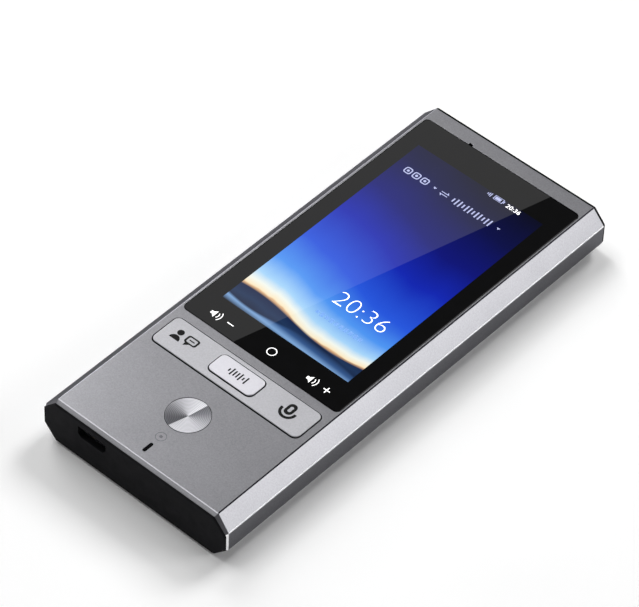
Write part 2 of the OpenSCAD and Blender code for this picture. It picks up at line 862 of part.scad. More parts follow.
housing();
bottom_cap();
top_cap();
cover_glass();
glass_adhesive();
display_panel();
backlight();
display_flex();
chassis_plate();
battery();
battery_tape();
battery_pad();
battery_lead();
main_board();
board_screws();
shield_can();
processor();
memory_chip();
usb_shell();
usb_tongue();
rocker_switches();
talk_switch();
power_switch();
rocker_plungers();
talk_plunger();
power_plunger();
key_frame();
key_bar();
talk_key();
power_key();
slot_insert();
front_microphone();
front_mic_boot();
top_board();
top_microphone();
top_mic_boot();
antenna();
link_flex();
speaker();
speaker_gasket();
speaker_mesh();
speaker_contacts();
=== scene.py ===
# %% [markdown]
# # A handheld translator, dressed for its picture
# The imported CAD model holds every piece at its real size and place. This script gives the pieces their looks:
# blasted and spun aluminium, moulded black plastic, a lit display under glass, and the small printed signs.
# Lengths are written in millimetres, as on a drawing, and become metres through one constant.

# %% Load the frame
import json
import math

import bmesh
import bpy
from mathutils import Matrix, Vector


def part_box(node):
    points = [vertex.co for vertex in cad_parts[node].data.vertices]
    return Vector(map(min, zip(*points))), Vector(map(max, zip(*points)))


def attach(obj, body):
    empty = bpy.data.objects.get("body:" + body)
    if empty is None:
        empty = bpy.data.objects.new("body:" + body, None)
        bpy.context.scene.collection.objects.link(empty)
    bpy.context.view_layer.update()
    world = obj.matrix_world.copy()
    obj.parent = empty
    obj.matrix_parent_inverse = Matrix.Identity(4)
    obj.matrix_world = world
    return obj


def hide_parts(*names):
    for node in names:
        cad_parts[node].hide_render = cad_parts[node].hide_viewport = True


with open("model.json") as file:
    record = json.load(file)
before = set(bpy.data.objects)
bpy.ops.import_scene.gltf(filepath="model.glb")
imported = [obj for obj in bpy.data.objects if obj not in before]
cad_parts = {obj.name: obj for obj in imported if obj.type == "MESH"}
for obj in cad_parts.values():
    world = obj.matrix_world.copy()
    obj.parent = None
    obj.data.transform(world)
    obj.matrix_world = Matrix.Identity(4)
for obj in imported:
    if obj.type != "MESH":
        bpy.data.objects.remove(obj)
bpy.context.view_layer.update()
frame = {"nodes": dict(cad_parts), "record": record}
MM = 0.001
print("nodes:", len(frame["nodes"]))

# %% [markdown]
# ## Places that everything shares
# The CAD nodes say where the face, the glass and the keys are. Reading their boxes once, here, keeps every
# added piece on its neighbour without any fitting by eye.

# %% Read the main places from the nodes
def box_mm(node):
    """A node's lowest and highest corner, in millimetres."""
    low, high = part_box(node)
    return low / MM, high / MM


sleeve_low, sleeve_high = box_mm("housing")
glass_low, glass_high = box_mm("cover_glass")
panel_low, panel_high = box_mm("display_panel")
bar_low, bar_high = box_mm("key_bar")
talk_low, talk_high = box_mm("talk_key")
power_low, power_high = box_mm("power_key")
FACE_Z = sleeve_high.z
HALF_W = sleeve_high.x
HALF_L = sleeve_high.y
LIT_BORDER = 1.5      # panel border at the sides and the far end
LIT_LEDGE = 4.2       # driver ledge at the near end
LIT_W = panel_high.x - panel_low.x - 2 * LIT_BORDER
LIT_FAR = panel_high.y - LIT_BORDER
LIT_NEAR = panel_low.y + LIT_LEDGE
LIT_L = LIT_FAR - LIT_NEAR
FACET_W = 3.15        # width of a slanted facet, seen from the front
FACET_H = 3.4         # its height, seen from the end
print(f"face at {FACE_Z:.2f} mm, lit area {LIT_W:.2f} x {LIT_L:.2f} mm")

# %% [markdown]
# ## Camera
# The viewpoint is that of a product picture: high, over the near right corner, with a long lens that keeps
# the long sides nearly parallel. A small roll turns the picture as the camera was held.

# %% Set up the camera
AZIMUTH, ELEVATION, ROLL = (math.radians(d) for d in (40.481, 46.615, 2.149))
CAMERA_AT = Vector((366.14, -432.90, 611.06)) * MM
SENSOR_W = 36.0
LENS = 224.2

back = Vector((
    math.sin(AZIMUTH) * math.cos(ELEVATION),
    -math.cos(AZIMUTH) * math.cos(ELEVATION),
    math.sin(ELEVATION),
))
right = Vector((math.cos(AZIMUTH), math.sin(AZIMUTH), 0))
up = back.cross(right)
camera_x = right * math.cos(ROLL) + up * math.sin(ROLL)
camera_y = up * math.cos(ROLL) - right * math.sin(ROLL)

camera = bpy.data.objects.new("camera", bpy.data.cameras.new("camera"))
bpy.context.scene.collection.objects.link(camera)
camera.matrix_world = Matrix.Translation(CAMERA_AT) @ Matrix((camera_x, camera_y, back)).transposed().to_4x4()
camera.data.sensor_width = SENSOR_W
camera.data.lens = LENS
camera.data.clip_start = 0.01
bpy.context.scene.camera = camera
print("camera looks along", [round(-c, 3) for c in back])

# %% [markdown]
# ## Colours and shader nodes
# Colours are written as the sRGB hex values that a picker shows, and one function turns them into the linear
# values that shaders add up. One more function adds a node of any kind, with its settings and what feeds it,
# so that a material reads as the list of its steps.

# %% Colour and node helpers
MATH = "ShaderNodeMath"
RANGE = "ShaderNodeMapRange"          # maps 0 to 1 onto another range, and clamps
RAMP = "ShaderNodeValToRGB"           # turns a value into a colour
COMBINE = "ShaderNodeCombineXYZ"


def linear(hex_colour):
    """Linear RGBA of an sRGB hex colour."""
    channels = [int(hex_colour[i:i + 2], 16) / 255 for i in (1, 3, 5)]
    return [c / 12.92 if c <= 0.04045 else ((c + 0.055) / 1.055) ** 2.4 for c in channels] + [1.0]


def put(socket, value):
    """Sets a socket, or links it to an output. A node stands for the first output that it shows."""
    if isinstance(value, bpy.types.Node):
        value = next(output for output in value.outputs if output.enabled)
    if isinstance(value, bpy.types.NodeSocket):
        socket.id_data.links.new(value, socket)
    else:
        socket.default_value = value


def add(tree, kind, inputs=(), stops=(), **settings):
    """Adds a node with its settings, its inputs in order or by name, and a ramp's (place, colour) stops."""
    node = tree.nodes.new(kind)
    for key, value in settings.items():
        setattr(node, key, value)
    fed = inputs if isinstance(inputs, dict) else dict(enumerate(inputs))
    for key, value in fed.items():
        put(node.inputs[key], value)
    for _ in stops[2:]:
        node.color_ramp.elements.new(0.5)
    for number, (place, colour) in enumerate(stops):
        node.color_ramp.elements[number].position = place
        node.color_ramp.elements[number].color = linear(colour)
    return node


def material(name, **uniform):
    """A material with a plain surface shader, and the values that are the same all over it."""
    made = bpy.data.materials.new(name)
    made.use_nodes = True
    shader = made.node_tree.nodes["Principled BSDF"]
    for key, value in uniform.items():
        shader.inputs[key.replace("_", " ").title().replace("Ior", "IOR")].default_value = value
    return made, made.node_tree, shader


def grain(tree, size_mm, detail=2.0, stretch=(1, 1, 1)):
    """A noise pattern whose features are about size_mm across, stretched along an axis if asked."""
    place = add(tree, "ShaderNodeTexCoord").outputs["Object"]
    scaled = add(tree, "ShaderNodeMapping", {"Vector": place, "Scale": stretch})
    return add(tree, "ShaderNodeTexNoise", {"Vector": scaled, "Scale": 1 / (size_mm * MM), "Detail": detail})


def textured(tree, shader, tone, dark, light, pattern, roughness, swing, relief=0.0):
    """Feeds a shader: two colours by tone, and roughness and a relief in millimetres by pattern."""
    put(shader.inputs["Base Color"], add(tree, RAMP, [tone], stops=[(0.3, dark), (0.7, light)]))
    put(shader.inputs["Roughness"], add(tree, RANGE, {
        "Value": pattern, "To Min": roughness - swing, "To Max": roughness + swing,
    }))
    if relief:
        put(shader.inputs["Normal"], add(tree, "ShaderNodeBump", {
            "Height": pattern, "Distance": relief * MM, "Strength": 1.0,
        }))


# %% [markdown]
# ## Floor and studio light
# A product table is a pale sweep under large soft lamps. The main lamp is a wide softbox behind the device on
# the left. Its straight edge is what the glass mirrors as a slanted line between a grey and a black half, so
# it is placed by that line: the camera is mirrored in the glass, and the softbox's edge goes where its sight
# lines through two points of the line lead. Four more softboxes light the face, the right facet and the near
# bevel, and a small one close by brightens the near left corner of the face.
#
# Metal shows little but what it mirrors, so in an empty room its far sides would look black. The room's walls
# are pale in reflections for that reason, and add almost nothing to a surface's own colour.

# %% Lay the floor
FLOOR_SIZE = 8.0
FLOOR_MOTTLE = 40      # size of the paint's uneven patches, in millimetres
FLOOR_LIFT = 0.055     # light added where a lens or a shiny surface sees the floor, so that it reads white
floor_material, floor_tree, floor_shader = material("painted_table", roughness=0.9, specular_ior_level=0.1)
put(floor_shader.inputs["Base Color"], add(
    floor_tree, RAMP, [grain(floor_tree, FLOOR_MOTTLE)], stops=[(0.3, "#fafafa"), (0.7, "#fdfdfd")]
))
looks = add(floor_tree, "ShaderNodeLightPath").outputs
direct = add(floor_tree, MATH, [looks["Is Camera Ray"], looks["Is Glossy Ray"]], operation="MAXIMUM")
seen = add(floor_tree, MATH, [direct, looks["Is Transmission Ray"]], operation="MAXIMUM")
put(floor_shader.inputs["Emission Color"], linear("#ffffff"))
put(floor_shader.inputs["Emission Strength"], add(floor_tree, MATH, [seen, FLOOR_LIFT], operation="MULTIPLY"))
floor_mesh = bmesh.new()
bmesh.ops.create_grid(floor_mesh, x_segments=8, y_segments=8, size=FLOOR_SIZE / 2)
floor_data = bpy.data.meshes.new("floor")
floor_mesh.to_mesh(floor_data)
floor_mesh.free()
floor = bpy.data.objects.new("floor", floor_data)
bpy.context.scene.collection.objects.link(floor)
floor.data.materials.append(floor_material)
print("floor:", FLOOR_SIZE, "m square")

# %% Hang the softboxes
def softbox(name, centre, towards, size, radiance, edge=None):
    """A rectangular lamp that faces a point. edge, if given, is the direction of its long side."""
    face = (towards - centre).normalized()
    long_side = (edge or Vector((0, 0, 1)).cross(face)).normalized()
    short_side = (-face).cross(long_side).normalized()
    lamp = bpy.data.lights.new(name, "AREA")
    lamp.shape = "RECTANGLE"
    lamp.size, lamp.size_y = size
    lamp.energy = radiance * math.pi * size[0] * size[1]
    obj = bpy.data.objects.new(name, lamp)
    bpy.context.scene.collection.objects.link(obj)
    turn = Matrix((long_side, short_side, -face)).transposed()
    obj.matrix_world = Matrix.Translation(centre) @ turn.to_4x4()


def direction(azimuth, elevation):
    """Direction from the device: azimuth 0 is towards +Y and 90 towards +X, both in degrees."""
    a, e = math.radians(azimuth), math.radians(elevation)
    return Vector((math.sin(a) * math.cos(e), math.cos(a) * math.cos(e), math.sin(e)))


GLOSS_FAR = Vector((11.96, 49.71, FACE_Z)) * MM      # two points of the slanted line on the glass
GLOSS_NEAR = Vector((-7.13, -22.24, FACE_Z)) * MM
MAIN_FAR = 2.0         # distance of the main softbox, in metres
MAIN_SIZE = (1.5, 1.3)
MAIN_PAST = 0.1        # how far it reaches past the far end of the line
MAIN_RADIANCE = 1.95
middle = (GLOSS_FAR + GLOSS_NEAR) / 2
mirrored_camera = Vector((CAMERA_AT.x, CAMERA_AT.y, 2 * FACE_Z * MM - CAMERA_AT.z))
main_direction = (middle - mirrored_camera).normalized()


def on_softbox(point):
    """Where the mirrored sight line through a point of the glass meets the softbox's plane."""
    ray = (point - mirrored_camera).normalized()
    return point + ray * (MAIN_FAR - (point - middle).dot(main_direction)) / ray.dot(main_direction)


edge_near, edge_far = on_softbox(GLOSS_NEAR), on_softbox(GLOSS_FAR)
edge = (edge_far - edge_near).normalized()
inwards = edge.cross(main_direction).normalized()
if inwards.x > 0:
    inwards.negate()
far_end = edge_far + edge * MAIN_PAST
main_centre = far_end - edge * MAIN_SIZE[0] / 2 + inwards * MAIN_SIZE[1] / 2
softbox("main_softbox", main_centre, main_centre - main_direction, MAIN_SIZE, MAIN_RADIANCE, edge)
print("main softbox at", [round(c, 2) for c in main_centre])

# %% Hang the other softboxes
LAMP_FAR = 2.2         # distances in metres, as the lamps' sizes are
for name, azimuth, elevation, size, radiance in (
    ("left_softbox", -95, 62, (1.0, 1.0), 5.8),
    ("back_softbox", 0, 42, (0.8, 0.8), 11.5),
    ("facet_softbox", 56, 26, (0.9, 0.75), 5.9),
    ("bevel_softbox", 222, 46, (0.9, 0.6), 1.6),
):
    softbox(name, direction(azimuth, elevation) * LAMP_FAR, Vector(), size, radiance)
CORNER_INSET = 4       # how far from the near end the corner lamp aims
CORNER_FAR = 0.6
corner = Vector((sleeve_low.x, sleeve_low.y + CORNER_INSET, 0)) * MM
softbox("corner_softbox", corner + direction(-62, 44) * CORNER_FAR, corner, (0.15, 0.15), 7.5)
print("lamps:", len(bpy.data.lights))

# %% Light the room
ROOM_LIGHT = 0.02      # what the dim room adds to surfaces
ROOM_MIRRORED = 0.34   # what its pale walls add in reflections
world = bpy.data.worlds.new("studio")
world.use_nodes = True
room = world.node_tree
mirrored = add(room, "ShaderNodeLightPath").outputs["Is Glossy Ray"]
strength = add(room, MATH, [mirrored, ROOM_MIRRORED, ROOM_LIGHT], operation="MULTIPLY_ADD")
put(room.nodes["Background"].inputs["Color"], linear("#ebebee"))
put(room.nodes["Background"].inputs["Strength"], strength)
bpy.context.scene.world = world
bpy.context.scene.view_settings.view_transform = "Standard"
print("room:", ROOM_LIGHT, "on surfaces,", ROOM_LIGHT + ROOM_MIRRORED, "in reflections")

# %% [markdown]
# ## Blasted and anodised aluminium
# The sleeve is an aluminium extrusion, bead blasted and then anodised grey. Blasting leaves dimples of about
# a tenth of a millimetre, which blur reflections evenly in all directions, and anodising leaves the tone a
# touch uneven. The dimples are drawn three times as coarse as they are, so that they show at all. The key
# bar and the talk key are the same metal in lighter silver tones.
#
# The narrow bands along the sleeve's corners get tones of their own, which are painted reflections and painted
# shade.
# A real corner a fifth of a millimetre wide mirrors one thin strip of the studio, which is dark on one side and
# light on the other. The lamps here are simpler than a studio, so the band beside the face's right edge has a
# painted dark reflection, the other edges and the shoulders at the sides have painted highlights, and the walls
# of the openings are painted near black as shade.

# %% Blasted aluminium
BLAST_GRAIN = 0.3      # size of the dimples as they are drawn
PATCH_SIZE = 9.0       # size of the anodising's uneven patches
BLAST_TINT = "#8c8c90"


def blasted_aluminium(name, dark, light, roughness, relief):
    """Anodised metal between two tones, with dimples of that relief in millimetres."""
    made, tree, shader = material(name, metallic=1.0, specular_tint=linear(BLAST_TINT))
    dimples = grain(tree, BLAST_GRAIN)
    fine = add(tree, RANGE, {"Value": dimples, "To Min": 0.15, "To Max": 0.85})
    patches = add(tree, RANGE, {"Value": grain(tree, PATCH_SIZE, detail=3.0), "To Min": -0.1, "To Max": 0.1})
    tone = add(tree, MATH, [patches, fine])
    textured(tree, shader, tone, dark, light, dimples, roughness, swing=0.05, relief=relief)
    return made


sleeve_metal = blasted_aluminium("anodised_aluminium_grey", "#707073", "#808083", 0.31, 0.008)
bar_metal = blasted_aluminium("anodised_aluminium_silver", "#8e8e91", "#9c9c9f", 0.48, 0.006)
talk_metal = blasted_aluminium("anodised_aluminium_bright", "#acabb0", "#b4b3b8", 0.42, 0.004)
# The next four are painted tones: a painted dark reflection on the arris, painted highlights on the edges and
# shoulders, and painted shade on the walls of the openings.
arris_painted_dark = blasted_aluminium("arris_painted_dark_reflection", "#1c1c20", "#2a2a2e", 0.30, 0.002)
edges_painted_light = blasted_aluminium("edges_painted_highlight", "#9a9aa0", "#a4a4aa", 0.32, 0.002)
shoulders_painted_light = blasted_aluminium("shoulders_painted_highlight", "#f2f2f4", "#f8f8fa", 0.40, 0.002)
opening_walls_painted_shade = blasted_aluminium("opening_walls_painted_near_black", "#0e0e10", "#161618", 0.60, 0.004)
print("blasted:", sleeve_metal.name, bar_metal.name, talk_metal.name)

# %% [markdown]
# ## Cut edges
# After blasting, the sleeve's ends are trimmed with a polished cutter. On the upright sides the cut bares
# bright metal with only fine feed marks, so these short strips shine far lighter than the faces beside them.

# %% Cut aluminium
FEED_MARK = 0.1        # spacing of the marks


def cut_aluminium(name):
    """Bright metal with fine feed marks along the cut."""
    made, tree, shader = material(name, metallic=1.0)
    marks = grain(tree, FEED_MARK, stretch=(1, 0.1, 1))
    textured(tree, shader, marks, "#ececee", "#f4f4f6", marks, roughness=0.27, swing=0.03)
    return made


cut_metal = cut_aluminium("cut_aluminium_edges")
print("cut:", cut_metal.name)

# %% [markdown]
# ## Spun aluminium
# The power key's face is turned on a lathe with a pointed tool, which leaves fine rings. Rings reflect a lamp
# as a bright fan on both sides of the centre, and on the real key those fans turn as the eye moves. In the
# photograph each fan has one crisp side and fades away round the key on the other. Anisotropic gloss alone
# fades on both sides, so the fans are painted here: a ramp round the centre sets the metal's tone, and some
# anisotropic gloss lies over it. Painted fans stay fixed to the key in every view, which is this way's cost.

# %% Spun aluminium
RING_PITCH = 0.35     # the lathe's own rings are finer: these are as coarse as they need to be to show
CRISP_AT = 78         # direction of the fans' crisp side, in degrees from the x axis


def spun_aluminium(name, centre):
    """Metal with two painted fans and fine rings about a centre, in millimetres."""
    made, tree, shader = material(name, metallic=1.0, roughness=0.36, anisotropic=0.5)
    put(shader.inputs["Tangent"], add(tree, "ShaderNodeTangent", direction_type="RADIAL", axis="Z"))
    place = add(tree, "ShaderNodeTexCoord").outputs["Object"]
    moved = add(tree, "ShaderNodeMapping", {
        "Vector": place, "Location": (-centre.x * MM, -centre.y * MM, 0),
    })
    x, y, _ = add(tree, "ShaderNodeSeparateXYZ", [moved]).outputs
    angle = add(tree, MATH, [y, x], operation="ARCTAN2")
    turned = add(tree, MATH, [angle, 2 * math.pi - math.radians(CRISP_AT)])
    half_turns = add(tree, MATH, [turned, math.pi], operation="DIVIDE")
    share = add(tree, MATH, [half_turns], operation="FRACT")
    fan = add(tree, RAMP, [share], stops=[
        (0.00, "#bebec2"), (0.10, "#b8b8bc"), (0.38, "#a6a6aa"), (0.62, "#88888c"), (0.84, "#66666a"),
        (0.985, "#5a5a5e"), (1.00, "#bebec2"),
    ])
    squares = [add(tree, MATH, [side, side], operation="MULTIPLY") for side in (x, y)]
    away = add(tree, MATH, [add(tree, MATH, squares), 0.5], operation="POWER")
    phase = add(tree, MATH, [away, 2 * math.pi / (RING_PITCH * MM)], operation="MULTIPLY")
    wave = add(tree, MATH, [phase], operation="SINE")
    ridges = add(tree, RANGE, {"Value": wave, "To Min": 0.5, "To Max": 1.0})
    rings = add(tree, RAMP, [ridges], stops=[(0.0, "#8e8e8e"), (1.0, "#ffffff")])
    shade = add(tree, "ShaderNodeMix", {"Factor": 1.0, 6: fan, 7: rings},
                data_type="RGBA", blend_type="MULTIPLY")
    put(shader.inputs["Base Color"], shade)
    return made


power_middle = (power_low + power_high) / 2
spun_metal = spun_aluminium("spun_aluminium", power_middle)
print("spun:", spun_metal.name)

# %% [markdown]
# ## Plastics, rubber and small metals
# Moulded plastic takes the texture of its steel mould, a fine pebble of about a fifth of a millimetre, and
# shines only softly. Foam and rubber are duller. Tinned and stamped sheet has faint rolling lines along one
# axis. One function serves each family, and each finish passes its own colour, grain and relief.

# %% Moulded and rolled finishes
PEBBLES_TO_TONE = 12   # how much coarser the change of tone is than the pebble
ROLLED_RELIEF = 0.002


def moulded(name, dark, light, roughness, grain_mm, relief, ior=1.5, level=0.5):
    """Plastic, rubber, foam or film with a pebble of grain_mm and a much coarser change of tone."""
    made, tree, shader = material(name, ior=ior, specular_ior_level=level)
    pebble = grain(tree, grain_mm)
    tone = grain(tree, grain_mm * PEBBLES_TO_TONE)
    textured(tree, shader, tone, dark, light, pebble, roughness, swing=0.08, relief=relief)
    return made


def rolled(name, dark, light, roughness, line_mm):
    """Sheet metal with rolling lines of line_mm along one axis."""
    made, tree, shader = material(name, metallic=1.0)
    lines = grain(tree, line_mm, stretch=(1, 0.05, 1))
    textured(tree, shader, lines, dark, light, lines, roughness, swing=0.1, relief=ROLLED_RELIEF)
    return made


finishes = {
    "sleeve_metal": sleeve_metal,
    "key_bar_metal": bar_metal,
    "talk_key_metal": talk_metal,
    "spun_metal": spun_metal,
    "cap_plastic": moulded("abs_black_moulded", "#1e1e20", "#242426", 0.6, 0.2, 0.004, level=0.03),
    "frame_plastic": moulded("glass_filled_nylon", "#1c1c1e", "#26262a", 0.6, 0.3, 0.006),
    "plunger_plastic": moulded("acetal_black", "#1d1d1f", "#28282b", 0.45, 0.3, 0.002, ior=1.48),
    "speaker_plastic": moulded("liquid_crystal_polymer", "#202022", "#2a2a2c", 0.5, 0.2, 0.003),
    "tongue_plastic": moulded("port_tongue_nylon", "#0b0b0c", "#121214", 0.5, 0.2, 0.002),
    "chip_black": moulded("epoxy_moulding", "#141416", "#1d1d20", 0.6, 0.1, 0.004),
    "black_adhesive": moulded("acrylic_foam_adhesive", "#101011", "#191919", 0.8, 0.2, 0.01),
    "black_foam": moulded("urethane_foam", "#1b1b1d", "#29292c", 0.95, 0.25, 0.03),
    "boot_rubber": moulded("silicone_rubber", "#1c1c1e", "#262628", 0.7, 0.2, 0.004, ior=1.41),
    "white_plastic": moulded("diffuser_polycarbonate", "#dededf", "#eaeaec", 0.45, 0.4, 0.002, ior=1.58),
    "battery_wrap": moulded("pouch_film", "#44474c", "#50545a", 0.38, 1.5, 0.01),
    "tape": moulded("paper_tape", "#ddd0a4", "#e8dcb4", 0.85, 0.15, 0.01),
    "board_green": moulded("solder_mask", "#174f2b", "#1f6b3a", 0.35, 0.6, 0.004, ior=1.55),
    "flex_film": moulded("polyimide_film", "#a8641c", "#c07a28", 0.3, 0.5, 0.002, ior=1.7),
    "chassis_metal": rolled("stamped_aluminium", "#a6aaae", "#babec2", 0.4, 0.15),
    "screw_steel": rolled("plated_steel", "#808084", "#98989c", 0.35, 0.1),
    "tinned_steel": rolled("tinned_steel", "#9c9ea2", "#b4b6ba", 0.35, 0.12),
    "switch_metal": rolled("stamped_stainless", "#a8a8aa", "#bcbcbe", 0.32, 0.12),
    "microphone_brass": rolled("gilt_brass", "#b39a5c", "#cdb674", 0.35, 0.1),
    "mesh_steel": rolled("blackened_steel", "#101012", "#1c1c1f", 0.5, 0.05),
}
print(len(finishes), "finishes")

# %% [markdown]
# ## Glass and the lit picture
# The cover glass is printed black on its underside, except over the lit area, and it carries a thin coating
# that lowers its reflection to about a quarter of bare glass. The picture is a generic one, drawn by the
# shader: a sky that runs from cream at the horizon over azure to navy, above soft hills with mist between.

# %% Black glass
COATED = 0.14         # specular level of coated glass, where 0.5 is bare glass
PRINT_PATCH = 3       # size of the patches in the black print


def coated(name):
    """A coated glass surface."""
    return material(name, roughness=0.004, ior=1.5, specular_ior_level=COATED)


glass_black, glass_tree, glass_shader = coated("printed_cover_glass")
put(glass_shader.inputs["Base Color"], add(
    glass_tree, RAMP, [grain(glass_tree, PRINT_PATCH)], stops=[(0.3, "#020202"), (0.7, "#040405")]
))
finishes["cover_glass"] = glass_black
print("glass:", glass_black.name)

# %% Lit picture
FAR_HILL = (0.082, 0.020, 5.2, 0.9)      # mean height, swing, waves and phase, as shares of the picture
NEAR_HILL = (0.040, 0.018, 6.4, 3.6)
HILL_EDGE = (-0.006, 0.004)              # where a hill's soft edge starts and ends
SLANT = 0.08                             # how much the sky's bands rise across the picture
SLANT_FROM = 0.2                         # and from which height above the hills
CLOUDS = 3.0                             # clouds across the picture
WISP = 0.035                             # how far they ruffle the bands
NEAR_SLANT = 0.03                        # how much the near ground's bands rise across the picture


def hill(tree, u, v, level, height, waves, phase):
    """A share that is 1 below a rolling line and 0 above it, with a soft edge, and the line itself."""
    swing = add(tree, MATH, [u, waves, phase], operation="MULTIPLY_ADD")
    roll = add(tree, MATH, [swing], operation="SINE")
    line = add(tree, MATH, [roll, height, level], operation="MULTIPLY_ADD")
    above = add(tree, MATH, [v, line], operation="SUBTRACT")
    below = add(tree, RANGE, {
        "Value": above, "From Min": HILL_EDGE[0], "From Max": HILL_EDGE[1], "To Min": 1.0, "To Max": 0.0,
    })
    return below, line


def lit_picture(name):
    """Glass over a sky, hills and mist. u and v run from 0 to 1 across and up the lit area."""
    made, tree, shader = coated(name)
    place = add(tree, "ShaderNodeTexCoord").outputs["Object"]
    sized = add(tree, "ShaderNodeMapping", {
        "Vector": place,
        "Location": (0.5, -LIT_NEAR / LIT_L, 0),
        "Scale": (1 / (LIT_W * MM), 1 / (LIT_L * MM), 1),
    })
    u, v, _ = add(tree, "ShaderNodeSeparateXYZ", [sized]).outputs
    far_hill, far_line = hill(tree, u, v, *FAR_HILL)
    near_hill, _ = hill(tree, u, v, *NEAR_HILL)
    rise = add(tree, MATH, [v, far_line], operation="SUBTRACT")
    slant = add(tree, RANGE, {"Value": rise, "From Max": SLANT_FROM, "To Max": SLANT})
    height = add(tree, MATH, [u, slant, rise], operation="MULTIPLY_ADD")
    clouds = add(tree, "ShaderNodeTexNoise", {"Vector": sized, "Scale": CLOUDS, "Detail": 3.0})
    wisps = add(tree, RANGE, {"Value": clouds, "To Min": -WISP, "To Max": WISP})
    sky = add(tree, RAMP, [add(tree, MATH, [height, wisps])], stops=[
        (0.00, "#dcb084"), (0.006, "#fdeac4"), (0.035, "#f4f8ee"), (0.075, "#a8d6fa"), (0.17, "#4e96f2"),
        (0.31, "#2456dc"), (0.49, "#0c24b0"), (0.65, "#060f76"), (0.83, "#030846"), (1.00, "#01031e"),
    ])
    mist = add(tree, RAMP, [add(tree, MATH, [v, wisps])], stops=[
        (0.00, "#0a1430"), (0.05, "#1b3358"), (0.09, "#0e2048"), (0.15, "#060f30"),
    ])
    ground = add(tree, RAMP, [add(tree, MATH, [u, NEAR_SLANT, v], operation="MULTIPLY_ADD")], stops=[
        (0.00, "#101c34"), (0.022, "#7fa8d8"), (0.045, "#35588c"), (0.075, "#0c1836"),
    ])
    picture = sky
    for share, layer in ((far_hill, mist), (near_hill, ground)):
        picture = add(tree, "ShaderNodeMix", {"Factor": share, 6: picture, 7: layer}, data_type="RGBA")
    put(shader.inputs["Base Color"], linear("#000000"))
    put(shader.inputs["Emission Color"], picture)
    put(shader.inputs["Emission Strength"], 1.0)
    return made


lit_display = lit_picture("lit_display_under_glass")
finishes["lit_display"] = lit_display
print("picture:", lit_display.name, "with", len(lit_display.node_tree.nodes), "nodes")

# %% [markdown]
# ## Dress the CAD nodes
# Every node takes the finish that its slot in the record names, so nothing keeps the importer's grey. The
# insert in the slot below the power key is painted a deeper black than the caps: painted shade, as it lies in
# its own shade.

# %% Give each node its finish
for part in frame["record"]["subparts"]:
    node = frame["nodes"][part["node"]]
    node.data.materials.clear()
    node.data.materials.append(finishes[part["material_slot"]])
slot_painted_shade = moulded("slot_painted_shade", "#050506", "#08080a", 0.7, 0.2, 0.002, level=0.03)
frame["nodes"]["slot_insert"].data.materials[0] = slot_painted_shade

# %% [markdown]
# ## Edges that catch light
# Real edges are never sharp: blasting and tumbling round them by a tenth or two of a millimetre, and that
# thin band is what draws a bright line along them. The CAD solids have knife edges, so a merged copy of each
# outer piece gets a bevel, wider where two large flats meet and finer round the openings.

# %% Soften a copy of a node
MERGED = 1e-6                        # points closer than this, in metres, are one
LEVEL = math.radians(0.4)            # faces that turn by less than this lie in one plane
SHARP = math.radians(20)             # an edge that turns by more than this is sharp


def finished(name, mesh, body, slot, replaced=()):
    """Makes a mesh in the row frame a piece of the object."""
    obj = bpy.data.objects.new(name, mesh)
    bpy.context.scene.collection.objects.link(obj)
    if not mesh.materials:
        mesh.materials.append(finishes[slot])
    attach(obj, body)
    if replaced:
        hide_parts(*replaced)
    return obj


def evaluated_mesh(obj, name):
    """The object's mesh with its modifiers applied. The object itself goes."""
    depsgraph = bpy.context.evaluated_depsgraph_get()
    mesh = bpy.data.meshes.new_from_object(obj.evaluated_get(depsgraph))
    mesh.name = name
    bpy.data.objects.remove(obj)
    return mesh


def softened(name, node, body, slot, width_mm, weight=lambda edge: 1.0, reshape=lambda point: point):
    """A merged copy of a CAD node, reshaped, with its sharp edges rounded to width_mm times their weight."""
    bm = bmesh.new()
    bm.from_mesh(frame["nodes"][node].data)
    bmesh.ops.remove_doubles(bm, verts=bm.verts, dist=MERGED)
    bmesh.ops.dissolve_limit(bm, angle_limit=LEVEL, verts=bm.verts, edges=bm.edges)
    for vert in bm.verts:
        vert.co = reshape(vert.co / MM) * MM
    layer = bm.edges.layers.float.new("bevel_weight_edge")
    for edge in bm.edges:
        sharp = len(edge.link_faces) == 2 and edge.calc_face_angle() > SHARP
        edge[layer] = weight(edge) if sharp else 0.0
        edge.smooth = not sharp or edge[layer] > 0
    mesh = bpy.data.meshes.new(name)
    bm.to_mesh(mesh)
    bm.free()
    for polygon in mesh.polygons:
        polygon.use_smooth = True
    rough = bpy.data.objects.new(name, mesh)
    bpy.context.scene.collection.objects.link(rough)
    bevel = rough.modifiers.new("edges", "BEVEL")
    bevel.limit_method = "WEIGHT"
    bevel.width = width_mm * MM
    bevel.segments = 2
    bevel.use_clamp_overlap = False
    flats = rough.modifiers.new("flats", "WEIGHTED_NORMAL")
    flats.keep_sharp = True
    flats.weight = 100
    mesh = evaluated_mesh(rough, name)
    mesh.materials.clear()
    return finished(name, mesh, body, slot, [node])


# %% Soften the sleeve
FACET_TURN = math.atan2(FACET_W, FACET_H)
FACET_FAR = (HALF_W - FACET_W) * math.cos(FACET_TURN) + FACE_Z / 2 * math.sin(FACET_TURN)
TOUCHING = 0.01       # two places closer than this are the same
TRIM_CAD = 0.65       # length of the bevel at the sleeve's ends in the CAD model
TRIM_NEAR = 0.95      # the same on the face at the near end, as the cutter leaves it
TRIM_SIDE = 0.62      # and on the near end's sides
TRIM_FAR = 0.42       # and at the far end
SIDE_STEP = 0.27      # how much less deep than in the CAD model the cutter goes on the near end's sides


def depths(point):
    """How far a point lies below each pair of flats of the eight-sided section, in millimetres."""
    x, z = abs(point.x / MM), abs(point.z / MM - FACE_Z / 2)
    return HALF_W - x, FACE_Z / 2 - z, FACET_FAR - x * math.cos(FACET_TURN) - z * math.sin(FACET_TURN)


